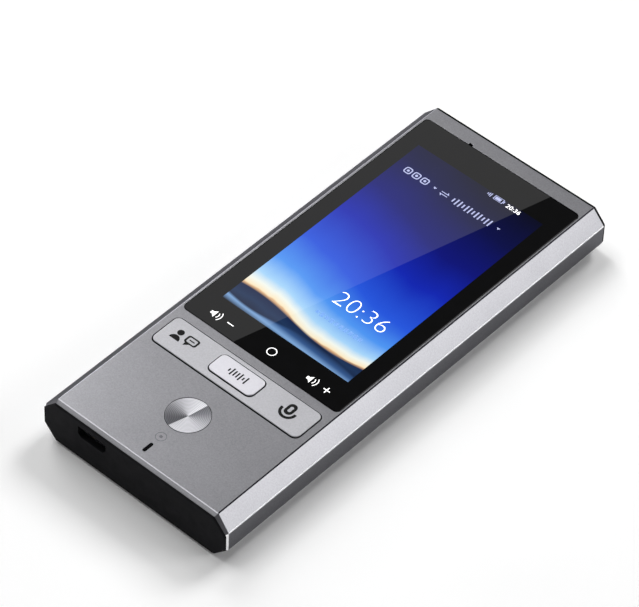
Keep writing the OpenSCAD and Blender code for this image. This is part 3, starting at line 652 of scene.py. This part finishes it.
def trimmed(point):
    """The sleeve's bevelled ends, longest where the near end meets the face."""
    side, face, _ = depths(point * MM)
    if abs(point.y + HALF_L) < TOUCHING and abs(side - TRIM_CAD) < TOUCHING:
        return point + Vector((math.copysign(SIDE_STEP, point.x), 0, 0))
    if abs(HALF_L - TRIM_CAD - abs(point.y)) > TOUCHING or min(side, face) > TOUCHING:
        return point
    if point.y > 0:
        return Vector((point.x, HALF_L - TRIM_FAR, point.z))
    return Vector((point.x, (TRIM_NEAR if face < TOUCHING else TRIM_SIDE) - HALF_L, point.z))


# %% Choose the edges to round, and each face's finish
SKIN = 0.7            # a place farther than this below every flat is inside the sleeve
ON_FLAT = 0.05        # a place nearer than this to a flat lies on it
BAND = 0.2            # how far from a corner its rounded band reaches
OPENING_T = 1.6       # how deep the walls of the openings in the face go
ROUND_CORNER = 0.7    # share of the sleeve's rounding at the corners of its section
ROUND_OPENING = 0.35  # and round its openings


def sleeve_weight(edge):
    """Wide along the section's corners and the near end, fine round the openings, and none inside."""
    middle = (edge.verts[0].co + edge.verts[1].co) / 2
    gaps = sorted(depths(middle))
    if gaps[0] > SKIN:
        return 0.0
    if gaps[0] < ON_FLAT and abs(middle.y / MM + HALF_L - TRIM_NEAR) < ON_FLAT:
        return 1.0
    return ROUND_CORNER if gaps[1] < ON_FLAT else ROUND_OPENING


def sleeve_finish(polygon):
    """A face's finish: 0 blasted, 1 cut, 2 arris with a painted dark reflection, 3 opening wall in painted
    shade, 4 edge with a painted highlight, 5 shoulder with a painted highlight.
    """
    across, along, upward = (abs(n) for n in polygon.normal)
    gaps = sorted(depths(polygon.center))
    if gaps[0] > SKIN:
        return 3 if upward < 0.5 and polygon.center.z > (FACE_Z - OPENING_T) * MM else 0
    if along > 0.1:          # a bevel of the sleeve's ends: cut where it looks sideways, blasted elsewhere
        return int(along > 0.3 and across > 0.4 and upward < 0.2)
    if gaps[1] > BAND:       # one of the flats
        return 0
    if across > 0.7:         # the rounding between a facet and an upright side
        return 5
    return 2 if polygon.normal.x > 0 else 4


SLEEVE_ROUNDING = 0.22
housing = softened("sleeve", "housing", "case", "sleeve_metal", SLEEVE_ROUNDING, sleeve_weight, trimmed)
# Faces 2 to 5 take the painted tones: a dark reflection, shade in the openings, and highlights.
for finish in (cut_metal, arris_painted_dark, opening_walls_painted_shade, edges_painted_light, shoulders_painted_light):
    housing.data.materials.append(finish)
for polygon in housing.data.polygons:
    polygon.material_index = sleeve_finish(polygon)
print("sleeve:", len(housing.data.polygons), "faces")

# %% [markdown]
# ## Caps and keys
# The caps are moulded and the keys are capped with metal, so their edges are finer than the sleeve's. Each
# cap's plate reaches over the end of the sleeve a little farther than in the CAD model, which draws the black
# line round the sleeve's ends. The keys' upright walls are painted black with moulded plastic, as painted shade
# in the gaps round the keys.

# %% Soften the caps and the keys
PLATE_NEAR = 0.3      # how far the near cap's plate reaches past the CAD outline over the sleeve's end
PLATE_FAR = 0.5       # the same for the far cap
RIM_DEPTH = 1.05      # points deeper than this below the flats belong to the rim inside the sleeve
SUNK = 0.02           # how much lower the talk key's top is drawn
CAP_ROUNDING = 0.08
KEY_ROUNDING = 0.06


def fuller_plate(point):
    """A cap's plate with its eight-sided outline moved outward. The rim inside the sleeve stays."""
    gaps = depths(point * MM)
    if abs(point.y) < HALF_L - TOUCHING or min(gaps) > RIM_DEPTH:
        return point
    side_x, side_z = math.copysign(1, point.x), math.copysign(1, point.z - FACE_Z / 2)
    growth = PLATE_NEAR if point.y < 0 else PLATE_FAR
    sideways = growth + SIDE_STEP if point.y < 0 else growth
    moves = [
        (side_x, 0.0, sideways),
        (0.0, side_z, growth),
        (side_x * math.cos(FACET_TURN), side_z * math.sin(FACET_TURN), growth),
    ]
    (ax, az, a), (bx, bz, b) = (moves[gaps.index(gap)] for gap in sorted(gaps)[:2])
    area = ax * bz - az * bx
    return point + Vector(((a * bz - b * az) / area, 0, (b * ax - a * bx) / area))


def sunk_top(point):
    """The talk key's top a hair lower, so that its printed sign stays inside the CAD box."""
    return Vector((point.x, point.y, min(point.z, talk_high.z - SUNK)))


def walls_in_painted_shade(piece, steepest=0.5):
    """Paints a key's upright walls with black moulded plastic, as painted shade for the gap round the key."""
    piece.data.materials.append(finishes["frame_plastic"])
    for polygon in piece.data.polygons:
        if abs(polygon.normal.z) < steepest:
            polygon.material_index = len(piece.data.materials) - 1


softened("near_cap", "bottom_cap", "case", "cap_plastic", CAP_ROUNDING, reshape=fuller_plate)
softened("far_cap", "top_cap", "case", "cap_plastic", CAP_ROUNDING, reshape=fuller_plate)
key_bar = softened("rocker_bar", "key_bar", "rocker", "key_bar_metal", KEY_ROUNDING)
walls_in_painted_shade(key_bar)
talk_key = softened("talk_button", "talk_key", "talk", "talk_key_metal", KEY_ROUNDING, reshape=sunk_top)
walls_in_painted_shade(talk_key)
print("keys:", len(key_bar.data.polygons), len(talk_key.data.polygons), "faces")

# %% [markdown]
# ## Shapes that follow a rule
# A row of equal bars and the ridges that a lathe leaves both follow a rule, so geometry nodes build them from
# a few named inputs. Each result is made a plain mesh at once.

# %% Geometry node helpers
def shape_group(name, kinds):
    """An empty geometry node group, its inputs by name and the socket that its result goes to."""
    group = bpy.data.node_groups.new(name, "GeometryNodeTree")
    for label, kind in {"Geometry": "Geometry", **kinds}.items():
        group.interface.new_socket(label, in_out="INPUT", socket_type="NodeSocket" + kind)
    group.interface.new_socket("Geometry", in_out="OUTPUT", socket_type="NodeSocketGeometry")
    inputs = add(group, "NodeGroupInput").outputs
    result = add(group, "NodeGroupOutput").inputs["Geometry"]
    return group, inputs, result


def grown(name, mesh, group, values):
    """The mesh that a node group makes of a mesh and of the values of its inputs."""
    obj = bpy.data.objects.new(name, mesh)
    bpy.context.scene.collection.objects.link(obj)
    modifier = obj.modifiers.new("shape", "NODES")
    modifier.node_group = group
    for item in group.interface.items_tree:
        if item.in_out == "INPUT" and item.name in values:
            modifier[item.identifier] = values[item.name]
    return outward(evaluated_mesh(obj, name))


def outward(mesh):
    """Turns the faces of a closed mesh outward."""
    bm = bmesh.new()
    bm.from_mesh(mesh)
    bmesh.ops.recalc_face_normals(bm, faces=bm.faces)
    bm.to_mesh(mesh)
    bm.free()
    return mesh


# %% A row of bars
def bar_row_group():
    """Bars side by side, whose heights swing between two values with a beat."""
    group, given, result = shape_group("bar_row", {
        "Count": "Int", "Pitch": "Float", "Width": "Float", "Thickness": "Float", "Low": "Float",
        "High": "Float", "Beat": "Float", "Middle": "Vector", "Material": "Material",
    })
    step = add(group, COMBINE, [given["Pitch"]])
    row = add(group, "GeometryNodeMeshLine", {"Count": given["Count"], "Offset": step})
    size = add(group, COMBINE, [given["Width"], 1.0, given["Thickness"]])
    bar = add(group, "GeometryNodeMeshCube", {"Size": size})
    beats = add(group, MATH, [add(group, "GeometryNodeInputIndex"), given["Beat"]], operation="MULTIPLY")
    swing = add(group, MATH, [add(group, MATH, [beats], operation="SINE")], operation="ABSOLUTE")
    height = add(group, RANGE, {"Value": swing, "To Min": given["Low"], "To Max": given["High"]})
    scale = add(group, COMBINE, [1.0, height, 1.0])
    bars = add(group, "GeometryNodeInstanceOnPoints", {"Points": row, "Instance": bar, "Scale": scale})
    steps = add(group, MATH, [given["Count"], 1.0], operation="SUBTRACT")
    length = add(group, MATH, [steps, given["Pitch"]], operation="MULTIPLY")
    half_back = add(group, COMBINE, [add(group, MATH, [length, -0.5], operation="MULTIPLY")])
    place = add(group, "ShaderNodeVectorMath", [given["Middle"], half_back])
    moved = add(group, "GeometryNodeTransform", {"Geometry": bars, "Translation": place})
    real = add(group, "GeometryNodeRealizeInstances", [moved])
    put(result, add(group, "GeometryNodeSetMaterial", {"Geometry": real, "Material": given["Material"]}))
    return group


bar_row = bar_row_group()


def bars(name, centre, z, finish, body, slot, count, pitch, size, heights, beat=0.0):
    """A row of bars as a piece, with its sizes in millimetres. size is a bar's width and thickness."""
    mesh = grown(name, bpy.data.meshes.new(name), bar_row, {
        "Count": count, "Pitch": pitch * MM, "Width": size[0] * MM, "Thickness": size[1] * MM,
        "Low": heights[0] * MM, "High": heights[1] * MM, "Beat": beat,
        "Middle": [m * MM for m in (*centre, z)], "Material": finish,
    })
    finished(name, mesh, body, slot)


# %% [markdown]
# ## The spun power key
# The key is a turned part. Its skirt and hidden flange are a plain profile turned about the axis. Its face is
# a shallow cone with a ridge for every ring that the tool left, which the node group works out from the
# distance to the axis: a flat grid is rolled into a disc, and each point sinks by the cone and by the ridge.

# %% The spun face
def spun_face_group():
    """A ridged shallow cone, joined to the mesh that the group is given."""
    group, given, result = shape_group("spun_face", {
        "Steps": "Int", "Rows": "Int", "Radius": "Float", "Top": "Float", "Dish": "Float", "Pitch": "Float",
        "Ridge": "Float", "Middle": "Vector", "Material": "Material",
    })
    grid = add(group, "GeometryNodeMeshGrid", {
        "Size X": 1.0, "Size Y": 1.0, "Vertices X": add(group, MATH, [given["Steps"], 1]),
        "Vertices Y": given["Rows"],
    })
    x, y, _ = add(group, "ShaderNodeSeparateXYZ", [add(group, "GeometryNodeInputPosition")]).outputs
    angle = add(group, MATH, [x, -2 * math.pi], operation="MULTIPLY")
    share = add(group, MATH, [y, 0.5])
    radius = add(group, MATH, [share, given["Radius"]], operation="MULTIPLY")
    inside = add(group, MATH, [given["Radius"], radius], operation="SUBTRACT")
    ring = add(group, MATH, [inside, given["Pitch"]], operation="DIVIDE")
    turns = add(group, MATH, [ring, 2 * math.pi], operation="MULTIPLY")
    wave = add(group, MATH, [1.0, add(group, MATH, [turns], operation="COSINE")], operation="SUBTRACT")
    groove = add(group, MATH, [wave, 0.5], operation="MULTIPLY")
    inward = add(group, MATH, [1.0, share], operation="SUBTRACT")
    cone = add(group, MATH, [inward, given["Dish"]], operation="MULTIPLY")
    sunk = add(group, MATH, [groove, given["Ridge"], cone], operation="MULTIPLY_ADD")
    across, along = (
        add(group, MATH, [radius, add(group, MATH, [angle], operation=part)], operation="MULTIPLY")
        for part in ("COSINE", "SINE")
    )
    disc = add(group, COMBINE, [across, along, add(group, MATH, [given["Top"], sunk], operation="SUBTRACT")])
    place = add(group, "ShaderNodeVectorMath", [disc, given["Middle"]])
    rolled_up = add(group, "GeometryNodeSetPosition", {"Geometry": grid, "Position": place})
    smooth = add(group, "GeometryNodeSetShadeSmooth", {"Geometry": rolled_up})
    both = add(group, "GeometryNodeJoinGeometry", [given["Geometry"]])
    put(both.inputs["Geometry"], smooth)
    closed = add(group, "GeometryNodeMergeByDistance", {"Geometry": both, "Distance": MERGED})
    real = add(group, "GeometryNodeRealizeInstances", [closed])
    put(result, add(group, "GeometryNodeSetMaterial", {"Geometry": real, "Material": given["Material"]}))
    return group


# %% Turn the power key
KEY_BEVEL = 0.15
FLANGE_W = 0.7        # width and thickness of the hidden flange that keeps the key in the sleeve
FLANGE_T = 0.6
DISH = 0.28           # how far the face's middle lies below its rim
RIDGE = 0.012         # height of the ridge that each ring leaves
TURNS = 96            # steps round the key
ROWS_PER_RING = 6
SHADE_STEEPEST = 0.8  # the painted shade on the key's walls takes in its bevel, which is not upright


def lathe(name, profile, centre, steps):
    """Turns (radius, height) points about the upright axis through centre, from the axis outwards."""
    bm = bmesh.new()
    rings = []
    for radius, height in profile:
        angles = (2 * math.pi * i / steps for i in range(steps if radius else 1))
        spots = ((centre.x + radius * math.cos(a), centre.y + radius * math.sin(a), height) for a in angles)
        rings.append([bm.verts.new(Vector(spot) * MM) for spot in spots])
    for lower, upper in zip(rings, rings[1:]):
        for i in range(steps):
            j = (i + 1) % steps
            corners = [ring[k % len(ring)] for ring, k in ((lower, i), (lower, j), (upper, j), (upper, i))]
            bm.faces.new(list(dict.fromkeys(corners)))
    mesh = bpy.data.meshes.new(name)
    bm.to_mesh(mesh)
    bm.free()
    return mesh


flange_r = (power_high.x - power_low.x) / 2
key_r = flange_r - FLANGE_W
face_r = key_r - KEY_BEVEL
flange_top = power_low.z + FLANGE_T
skirt = lathe("power_button", [
    (0, power_low.z), (flange_r, power_low.z), (flange_r, flange_top), (key_r, flange_top),
    (key_r, power_high.z - KEY_BEVEL), (face_r, power_high.z),
], power_middle, TURNS)
power_mesh = grown("power_button", skirt, spun_face_group(), {
    "Steps": TURNS, "Rows": ROWS_PER_RING * int(face_r / RING_PITCH), "Radius": face_r * MM,
    "Top": power_high.z * MM, "Dish": DISH * MM, "Pitch": RING_PITCH * MM, "Ridge": RIDGE * MM,
    "Middle": (power_middle.x * MM, power_middle.y * MM, 0.0), "Material": spun_metal,
})
power_key = finished("power_button", power_mesh, "power", "spun_metal", ["power_key"])
walls_in_painted_shade(power_key, SHADE_STEEPEST)
print("power key:", len(power_key.data.polygons), "faces")

# %% [markdown]
# ## The cover glass
# One slab with rounded corners and a ground edge. Its top face is split along the lit area, so that the same
# sheet is black-printed round the rim and clear over the picture, as the real one is.

# %% Build the glass
GLASS_R = 1.3
GROUND = 0.12         # bevel that grinding leaves along the glass's edge


def rounded_outline(low, high, radius, steps=8):
    """Points round a rectangle with rounded corners, anticlockwise, in millimetres."""
    points = []
    corners = [(high.x - radius, high.y - radius, 0), (low.x + radius, high.y - radius, 90),
               (low.x + radius, low.y + radius, 180), (high.x - radius, low.y + radius, 270)]
    for x, y, start in corners:
        for i in range(steps + 1):
            a = math.radians(start + 90 * i / steps)
            points.append((x + radius * math.cos(a), y + radius * math.sin(a)))
    return points


def glass_mesh():
    """The sheet from its lower ground edge to its top, which is split along the lit area."""
    bm = bmesh.new()

    def loop(inset, z):
        """One outline of the sheet at a height."""
        low = Vector((glass_low.x + inset, glass_low.y + inset))
        high = Vector((glass_high.x - inset, glass_high.y - inset))
        outline = rounded_outline(low, high, GLASS_R - inset)
        return [bm.verts.new(Vector((x, y, z)) * MM) for x, y in outline]

    loops = [loop(GROUND, glass_low.z), loop(0, glass_low.z + GROUND), loop(0, FACE_Z - GROUND),
             loop(GROUND, FACE_Z)]
    count = len(loops[0])
    for lower, upper in zip(loops, loops[1:]):
        for i in range(count):
            j = (i + 1) % count
            bm.faces.new([lower[i], lower[j], upper[j], upper[i]])
    bm.faces.new(loops[0][::-1])
    lit = [bm.verts.new(Vector((x, y, FACE_Z)) * MM) for x, y in (
        (LIT_W / 2, LIT_FAR), (-LIT_W / 2, LIT_FAR), (-LIT_W / 2, LIT_NEAR), (LIT_W / 2, LIT_NEAR)
    )]
    bm.faces.new(lit).material_index = 1
    quarter = count // 4
    for side in range(4):
        corner = loops[3][side * quarter:(side + 1) * quarter]
        onward = loops[3][(side + 1) * quarter % count]
        bm.faces.new([*corner, onward, lit[(side + 1) % 4], lit[side]])
    bmesh.ops.recalc_face_normals(bm, faces=bm.faces)
    mesh = bpy.data.meshes.new("glass_sheet")
    bm.to_mesh(mesh)
    bm.free()
    mesh.materials.append(glass_black)
    mesh.materials.append(lit_display)
    return mesh


cover_glass = finished("glass_sheet", glass_mesh(), "case", "cover_glass", ["cover_glass"])
print("glass:", len(cover_glass.data.polygons), "faces")

# %% [markdown]
# ## Printed and lit signs
# The small signs are ink a hundredth of a millimetre thick on the keys and under the glass, or lit pixels on
# the display. Here all of them lie on top, because the glass is drawn as one opaque sheet. They are generic:
# a loudspeaker with minus and plus, a person, a microphone, sound bars, rings, and a clock's digits. Each
# sign is a set of flat outlines, drawn round its own middle and given the ink's thickness.

# %% Ink finishes
INK_GRAIN = 0.8       # size of the patches where the ink lies thinner or fuller


def ink(name, thin, full, lit=0.0, metallic=0.0, roughness=0.4):
    """Printed ink or lit pixels, between two tones."""
    made, tree, shader = material(name, roughness=roughness, metallic=metallic, specular_ior_level=COATED)
    shade = add(tree, RAMP, [grain(tree, INK_GRAIN)], stops=[(0.3, thin), (0.7, full)])
    put(shader.inputs["Base Color"], shade)
    if lit:
        put(shader.inputs["Emission Color"], shade)
        put(shader.inputs["Emission Strength"], lit)
    return made


ink_black = ink("pad_print_black", "#0c0c0c", "#050505", roughness=0.7)
# The white print also gives off light of its own, at nine tenths of the lit pixels' strength.
ink_white = ink("white_print_glowing", "#ececec", "#f6f6f6", lit=0.9)
ink_faint = ink("laser_mark_grey", "#626266", "#565659", metallic=1.0, roughness=0.5)
pixels_white = ink("display_pixels_white", "#fafaff", "#ffffff", lit=1.0)
pixels_grey = ink("display_pixels_grey", "#8a8fb0", "#9499b8", lit=1.0)
pixels_dim = ink("display_pixels_dim", "#587eb4", "#6288bc", lit=1.0)

print("inks:", ink_black.name, ink_white.name, ink_faint.name)

# %% Outline helpers, all in millimetres
def bar_outline(x0, y0, x1, y1, radius=0.0):
    """A rectangle, with rounded corners where a radius is given."""
    if not radius:
        return [(x0, y0), (x1, y0), (x1, y1), (x0, y1)]
    return rounded_outline(Vector((x0, y0)), Vector((x1, y1)), radius, steps=5)


def disc_outline(x, y, radius, steps=32):
    """Points round a circle."""
    angles = (2 * math.pi * i / steps for i in range(steps))
    return [(x + radius * math.cos(a), y + radius * math.sin(a)) for a in angles]


def arc_outlines(x, y, radius, stroke, start=0.0, stop=360.0, steps=36):
    """A stroke along an arc, as short four-sided pieces."""
    pieces = []
    for i in range(steps):
        a, b = (math.radians(start + (stop - start) * k / steps) for k in (i, i + 1))
        inner, outer = radius - stroke / 2, radius + stroke / 2
        pieces.append([(x + r * math.cos(t), y + r * math.sin(t))
                       for r, t in ((inner, a), (outer, a), (outer, b), (inner, b))])
    return pieces


def ring_outlines(outline, stroke):
    """A stroke just inside a closed outline, drawn towards its middle."""
    cx = sum(p[0] for p in outline) / len(outline)
    cy = sum(p[1] for p in outline) / len(outline)
    inner = []
    for x, y in outline:
        away = math.hypot(x - cx, y - cy)
        inner.append((x - (x - cx) / away * stroke, y - (y - cy) / away * stroke))
    count = len(outline)
    return [[outline[i], outline[(i + 1) % count], inner[(i + 1) % count], inner[i]] for i in range(count)]


INK_T = 0.01          # thickness of the ink
SAME_POINT = 1e-7     # points of a sign closer than this, in metres, are one


def sign(name, outlines, centre, z, finish, body, slot):
    """A sign: outlines moved to centre, standing INK_T above z."""
    bm = bmesh.new()
    for outline in outlines:
        low = [bm.verts.new(Vector((x + centre[0], y + centre[1], z)) * MM) for x, y in outline]
        high = [bm.verts.new(Vector((x + centre[0], y + centre[1], z + INK_T)) * MM) for x, y in outline]
        bm.faces.new(low[::-1])
        bm.faces.new(high)
        for i in range(len(outline)):
            j = (i + 1) % len(outline)
            bm.faces.new([low[i], low[j], high[j], high[i]])
    bmesh.ops.remove_doubles(bm, verts=bm.verts, dist=SAME_POINT)
    bmesh.ops.recalc_face_normals(bm, faces=bm.faces)
    mesh = bpy.data.meshes.new(name)
    bm.to_mesh(mesh)
    bm.free()
    mesh.materials.append(finish)
    finished(name, mesh, body, slot)


# %% Signs on the glass
TOUCH_Y = -19.15
HOME_AT = (0.5, -18.95)
VOLUME_X = {"down": -13.3, "up": 13.4}
loudspeaker = [
    [(-3.0, -0.38), (-2.45, -0.38), (-1.75, -1.0), (-1.75, 1.0), (-2.45, 0.38), (-3.0, 0.38)],
    *arc_outlines(-1.95, 0, 1.0, 0.2, -42, 42, 8),
    *arc_outlines(-1.95, 0, 1.7, 0.2, -42, 42, 8),
]
minus = [bar_outline(1.55, -0.12, 3.25, 0.12)]
both_strokes = [*minus, bar_outline(2.28, 0.12, 2.52, 0.85), bar_outline(2.28, -0.85, 2.52, -0.12)]
on_glass = (FACE_Z, ink_white, "case", "cover_glass")
sign("volume_down_sign", loudspeaker + minus, (VOLUME_X["down"], TOUCH_Y), *on_glass)
sign("volume_up_sign", loudspeaker + both_strokes, (VOLUME_X["up"], TOUCH_Y), *on_glass)
sign("home_ring", arc_outlines(0, 0, 1.04, 0.2), HOME_AT, *on_glass)
print("signs on the glass at", VOLUME_X, HOME_AT)

# %% Signs on the keys
PERSON_X = -14.6
MICROPHONE_X = 14.15
SOUND_BARS_X = 0.2
RESET_Y = -51.3
BAR_SIGN_Y = (bar_low.y + bar_high.y) / 2 + 0.35
talk_middle = (talk_low + talk_high) / 2


def half_disc(x, y, radius, steps=16):
    """The upper half of a disc."""
    angles = (math.pi * i / steps for i in range(steps + 1))
    return [(x + radius * math.cos(a), y + radius * math.sin(a)) for a in angles]


person = [disc_outline(-1.9, 0.78, 0.8), half_disc(-1.9, -1.5, 1.3)]
bubble = [
    *ring_outlines(bar_outline(-0.1, -0.6, 3.1, 1.6, 0.6), 0.5),
    [(0.5, -0.55), (0.6, -1.5), (1.7, -0.55)],
    bar_outline(0.8, 0.36, 2.2, 0.64),
]
microphone = [
    *ring_outlines(bar_outline(-1.05, -1.0, 1.05, 2.2, 1.0), 0.8),
    *arc_outlines(0, -0.1, 1.76, 0.66, 172, 368, 24),
]
on_bar = (bar_high.z, ink_black, "rocker", "key_bar_metal")
sign("person_sign", person + bubble, (PERSON_X, BAR_SIGN_Y), *on_bar)
sign("microphone_sign", microphone, (MICROPHONE_X, BAR_SIGN_Y), *on_bar)
bars("sound_bars_sign", (SOUND_BARS_X, talk_middle.y), talk_high.z - SUNK + INK_T / 2, ink_black, "talk",
     "talk_key_metal", count=7, pitch=0.76, size=(0.36, INK_T), heights=(0.8, 2.1), beat=1.25)
dot_in_ring = arc_outlines(0, 0, 1.15, 0.13) + [disc_outline(0, 0, 0.38, 16)]
sign("reset_ring", dot_in_ring, (0, RESET_Y), FACE_Z, ink_faint, "case", "sleeve_metal")
print("signs on the keys at", PERSON_X, MICROPHONE_X, "and", round(BAR_SIGN_Y, 2))

# %% [markdown]
# ## The display's signs
# The clock's digits are Blender's own type. A text curve can't be stretched to fill a place exactly, so each
# is made a flat mesh first, and its points are then scaled and moved. Everything else on the display is a
# generic stand-in: bars for words and dates, and rounded cells for characters.

# %% Clock digits
CLOCK = "20:36"
STATUS_Y = 46.5
STATUS_H = 1.1
STATUS_X = (8.2, 11.9)
CLOCK_X = (-0.3, 13.4)
CLOCK_Y = (0.0, 4.0)
CLOCK_THINNER = 0.028  # how much the clock's strokes are thinned, as a share of the type's size


def digits(name, text, across, up, finish, thinner=0.0):
    """Clock digits as flat shapes that fill a rectangle, made a mesh before they are placed."""
    curve = bpy.data.curves.new(name, "FONT")
    curve.body = text
    curve.offset = -thinner
    shape = bpy.data.objects.new(name, curve)
    bpy.context.scene.collection.objects.link(shape)
    mesh = evaluated_mesh(shape, name)
    xs = [v.co.x for v in mesh.vertices]
    ys = [v.co.y for v in mesh.vertices]
    scale_x = (across[1] - across[0]) / (max(xs) - min(xs))
    scale_y = (up[1] - up[0]) / (max(ys) - min(ys))
    for vert in mesh.vertices:
        x = across[0] + (vert.co.x - min(xs)) * scale_x
        y = up[0] + (vert.co.y - min(ys)) * scale_y
        vert.co = Vector((x, y, FACE_Z + INK_T)) * MM
    mesh.materials.clear()
    mesh.materials.append(finish)
    finished(name, mesh, "case", "lit_display")


digits("clock_digits", CLOCK, CLOCK_X, CLOCK_Y, pixels_white, CLOCK_THINNER)
digits("status_digits", CLOCK, STATUS_X, (STATUS_Y - STATUS_H / 2, STATUS_Y + STATUS_H / 2), pixels_white)
print("clock from", CLOCK_X[0], "to", CLOCK_X[1], "mm")

# %% Other pixels on the display
BATTERY_AT = (5.9, STATUS_Y + 0.2)
SIGNAL_AT = (3.4, STATUS_Y + 0.1)
DATE_AT = (5.6, -4.1)
ROW_Y = 39.9
CELLS_AT = (-13.9, ROW_Y + 0.1)
CELL_STEP = 2.35
ARROWS_X = -3.6
BARS_X = 4.0
PIXEL_T = 2 * INK_T    # bars are placed by their middle, so half of this stands above the glass
on_display = (FACE_Z, pixels_grey, "case", "lit_display")
battery_sign = ring_outlines(bar_outline(-1.3, -0.65, 1.2, 0.65, 0.12), 0.2) + [
    bar_outline(1.25, -0.3, 1.5, 0.3), bar_outline(-0.95, -0.4, 0.55, 0.4),
]
sign("battery_sign", battery_sign, BATTERY_AT, *on_display)
bars("signal_bars", SIGNAL_AT, *on_display,
     count=3, pitch=0.42, size=(0.22, PIXEL_T), heights=(0.5, 1.2), beat=0.7)
cell = ring_outlines(bar_outline(-0.95, -0.95, 0.95, 0.95, 0.6), 0.3) + [disc_outline(0, 0, 0.34, 16)]
cells = [[(x + i * CELL_STEP, y) for x, y in outline] for i in range(3) for outline in cell]
sign("first_language_cells", cells, CELLS_AT, *on_display)
arrows = [bar_outline(-1.0, 0.22, 0.6, 0.42), [(0.5, 0.42), (0.5, 0.95), (1.1, 0.22), (0.5, 0.22)],
          bar_outline(-0.6, -0.42, 1.0, -0.22), [(-0.5, -0.42), (-0.5, -0.95), (-1.1, -0.22), (-0.5, -0.22)]]
sign("swap_arrows", arrows, (ARROWS_X, ROW_Y), *on_display)
bars("second_language_bars", (BARS_X, ROW_Y), *on_display,
     count=12, pitch=0.92, size=(0.34, PIXEL_T), heights=(1.15, 2.0), beat=2.1)
for name, x in (("first_menu_mark", -6.3), ("second_menu_mark", 11.4)):
    sign(name, [[(-0.45, 0.25), (0, -0.3), (0.45, 0.25)]], (x, ROW_Y), *on_display)
bars("date_bars", DATE_AT, FACE_Z, pixels_dim, "case", "lit_display",
     count=10, pitch=1.3, size=(0.85, PIXEL_T), heights=(0.8, 1.3), beat=1.7)
print("status row at", STATUS_Y, "and language row at", ROW_Y, "mm")

# %% [markdown]
# ## Contacts in the port
# A port has five gilt springs on its tongue. They are a row of equal bars again, laid on the tongue's lower
# side, where a plug's contacts slide along them.

# %% Lay the contacts
CONTACTS = 5
CONTACT_PITCH = 0.65
CONTACT_W = 0.35
CONTACT_T = 0.06
CONTACT_L = 2.4
CONTACT_INSET = 0.3   # how far behind the tongue's front they start
tongue_low, tongue_high = box_mm("usb_tongue")
shell_low, shell_high = box_mm("usb_shell")
port_middle = (shell_low + shell_high) / 2
contact_gold = rolled("contact_gold", "#c8a04a", "#dcb864", 0.3, 0.1)
contact_y = tongue_low.y + CONTACT_INSET + CONTACT_L / 2
bars("port_contacts", (port_middle.x, contact_y), port_middle.z - CONTACT_T / 2, contact_gold, "case",
     "microphone_brass", count=CONTACTS, pitch=CONTACT_PITCH, size=(CONTACT_W, CONTACT_T),
     heights=(CONTACT_L, CONTACT_L))
print("tongue:", [round(v, 2) for v in (*tongue_low, *tongue_high)])
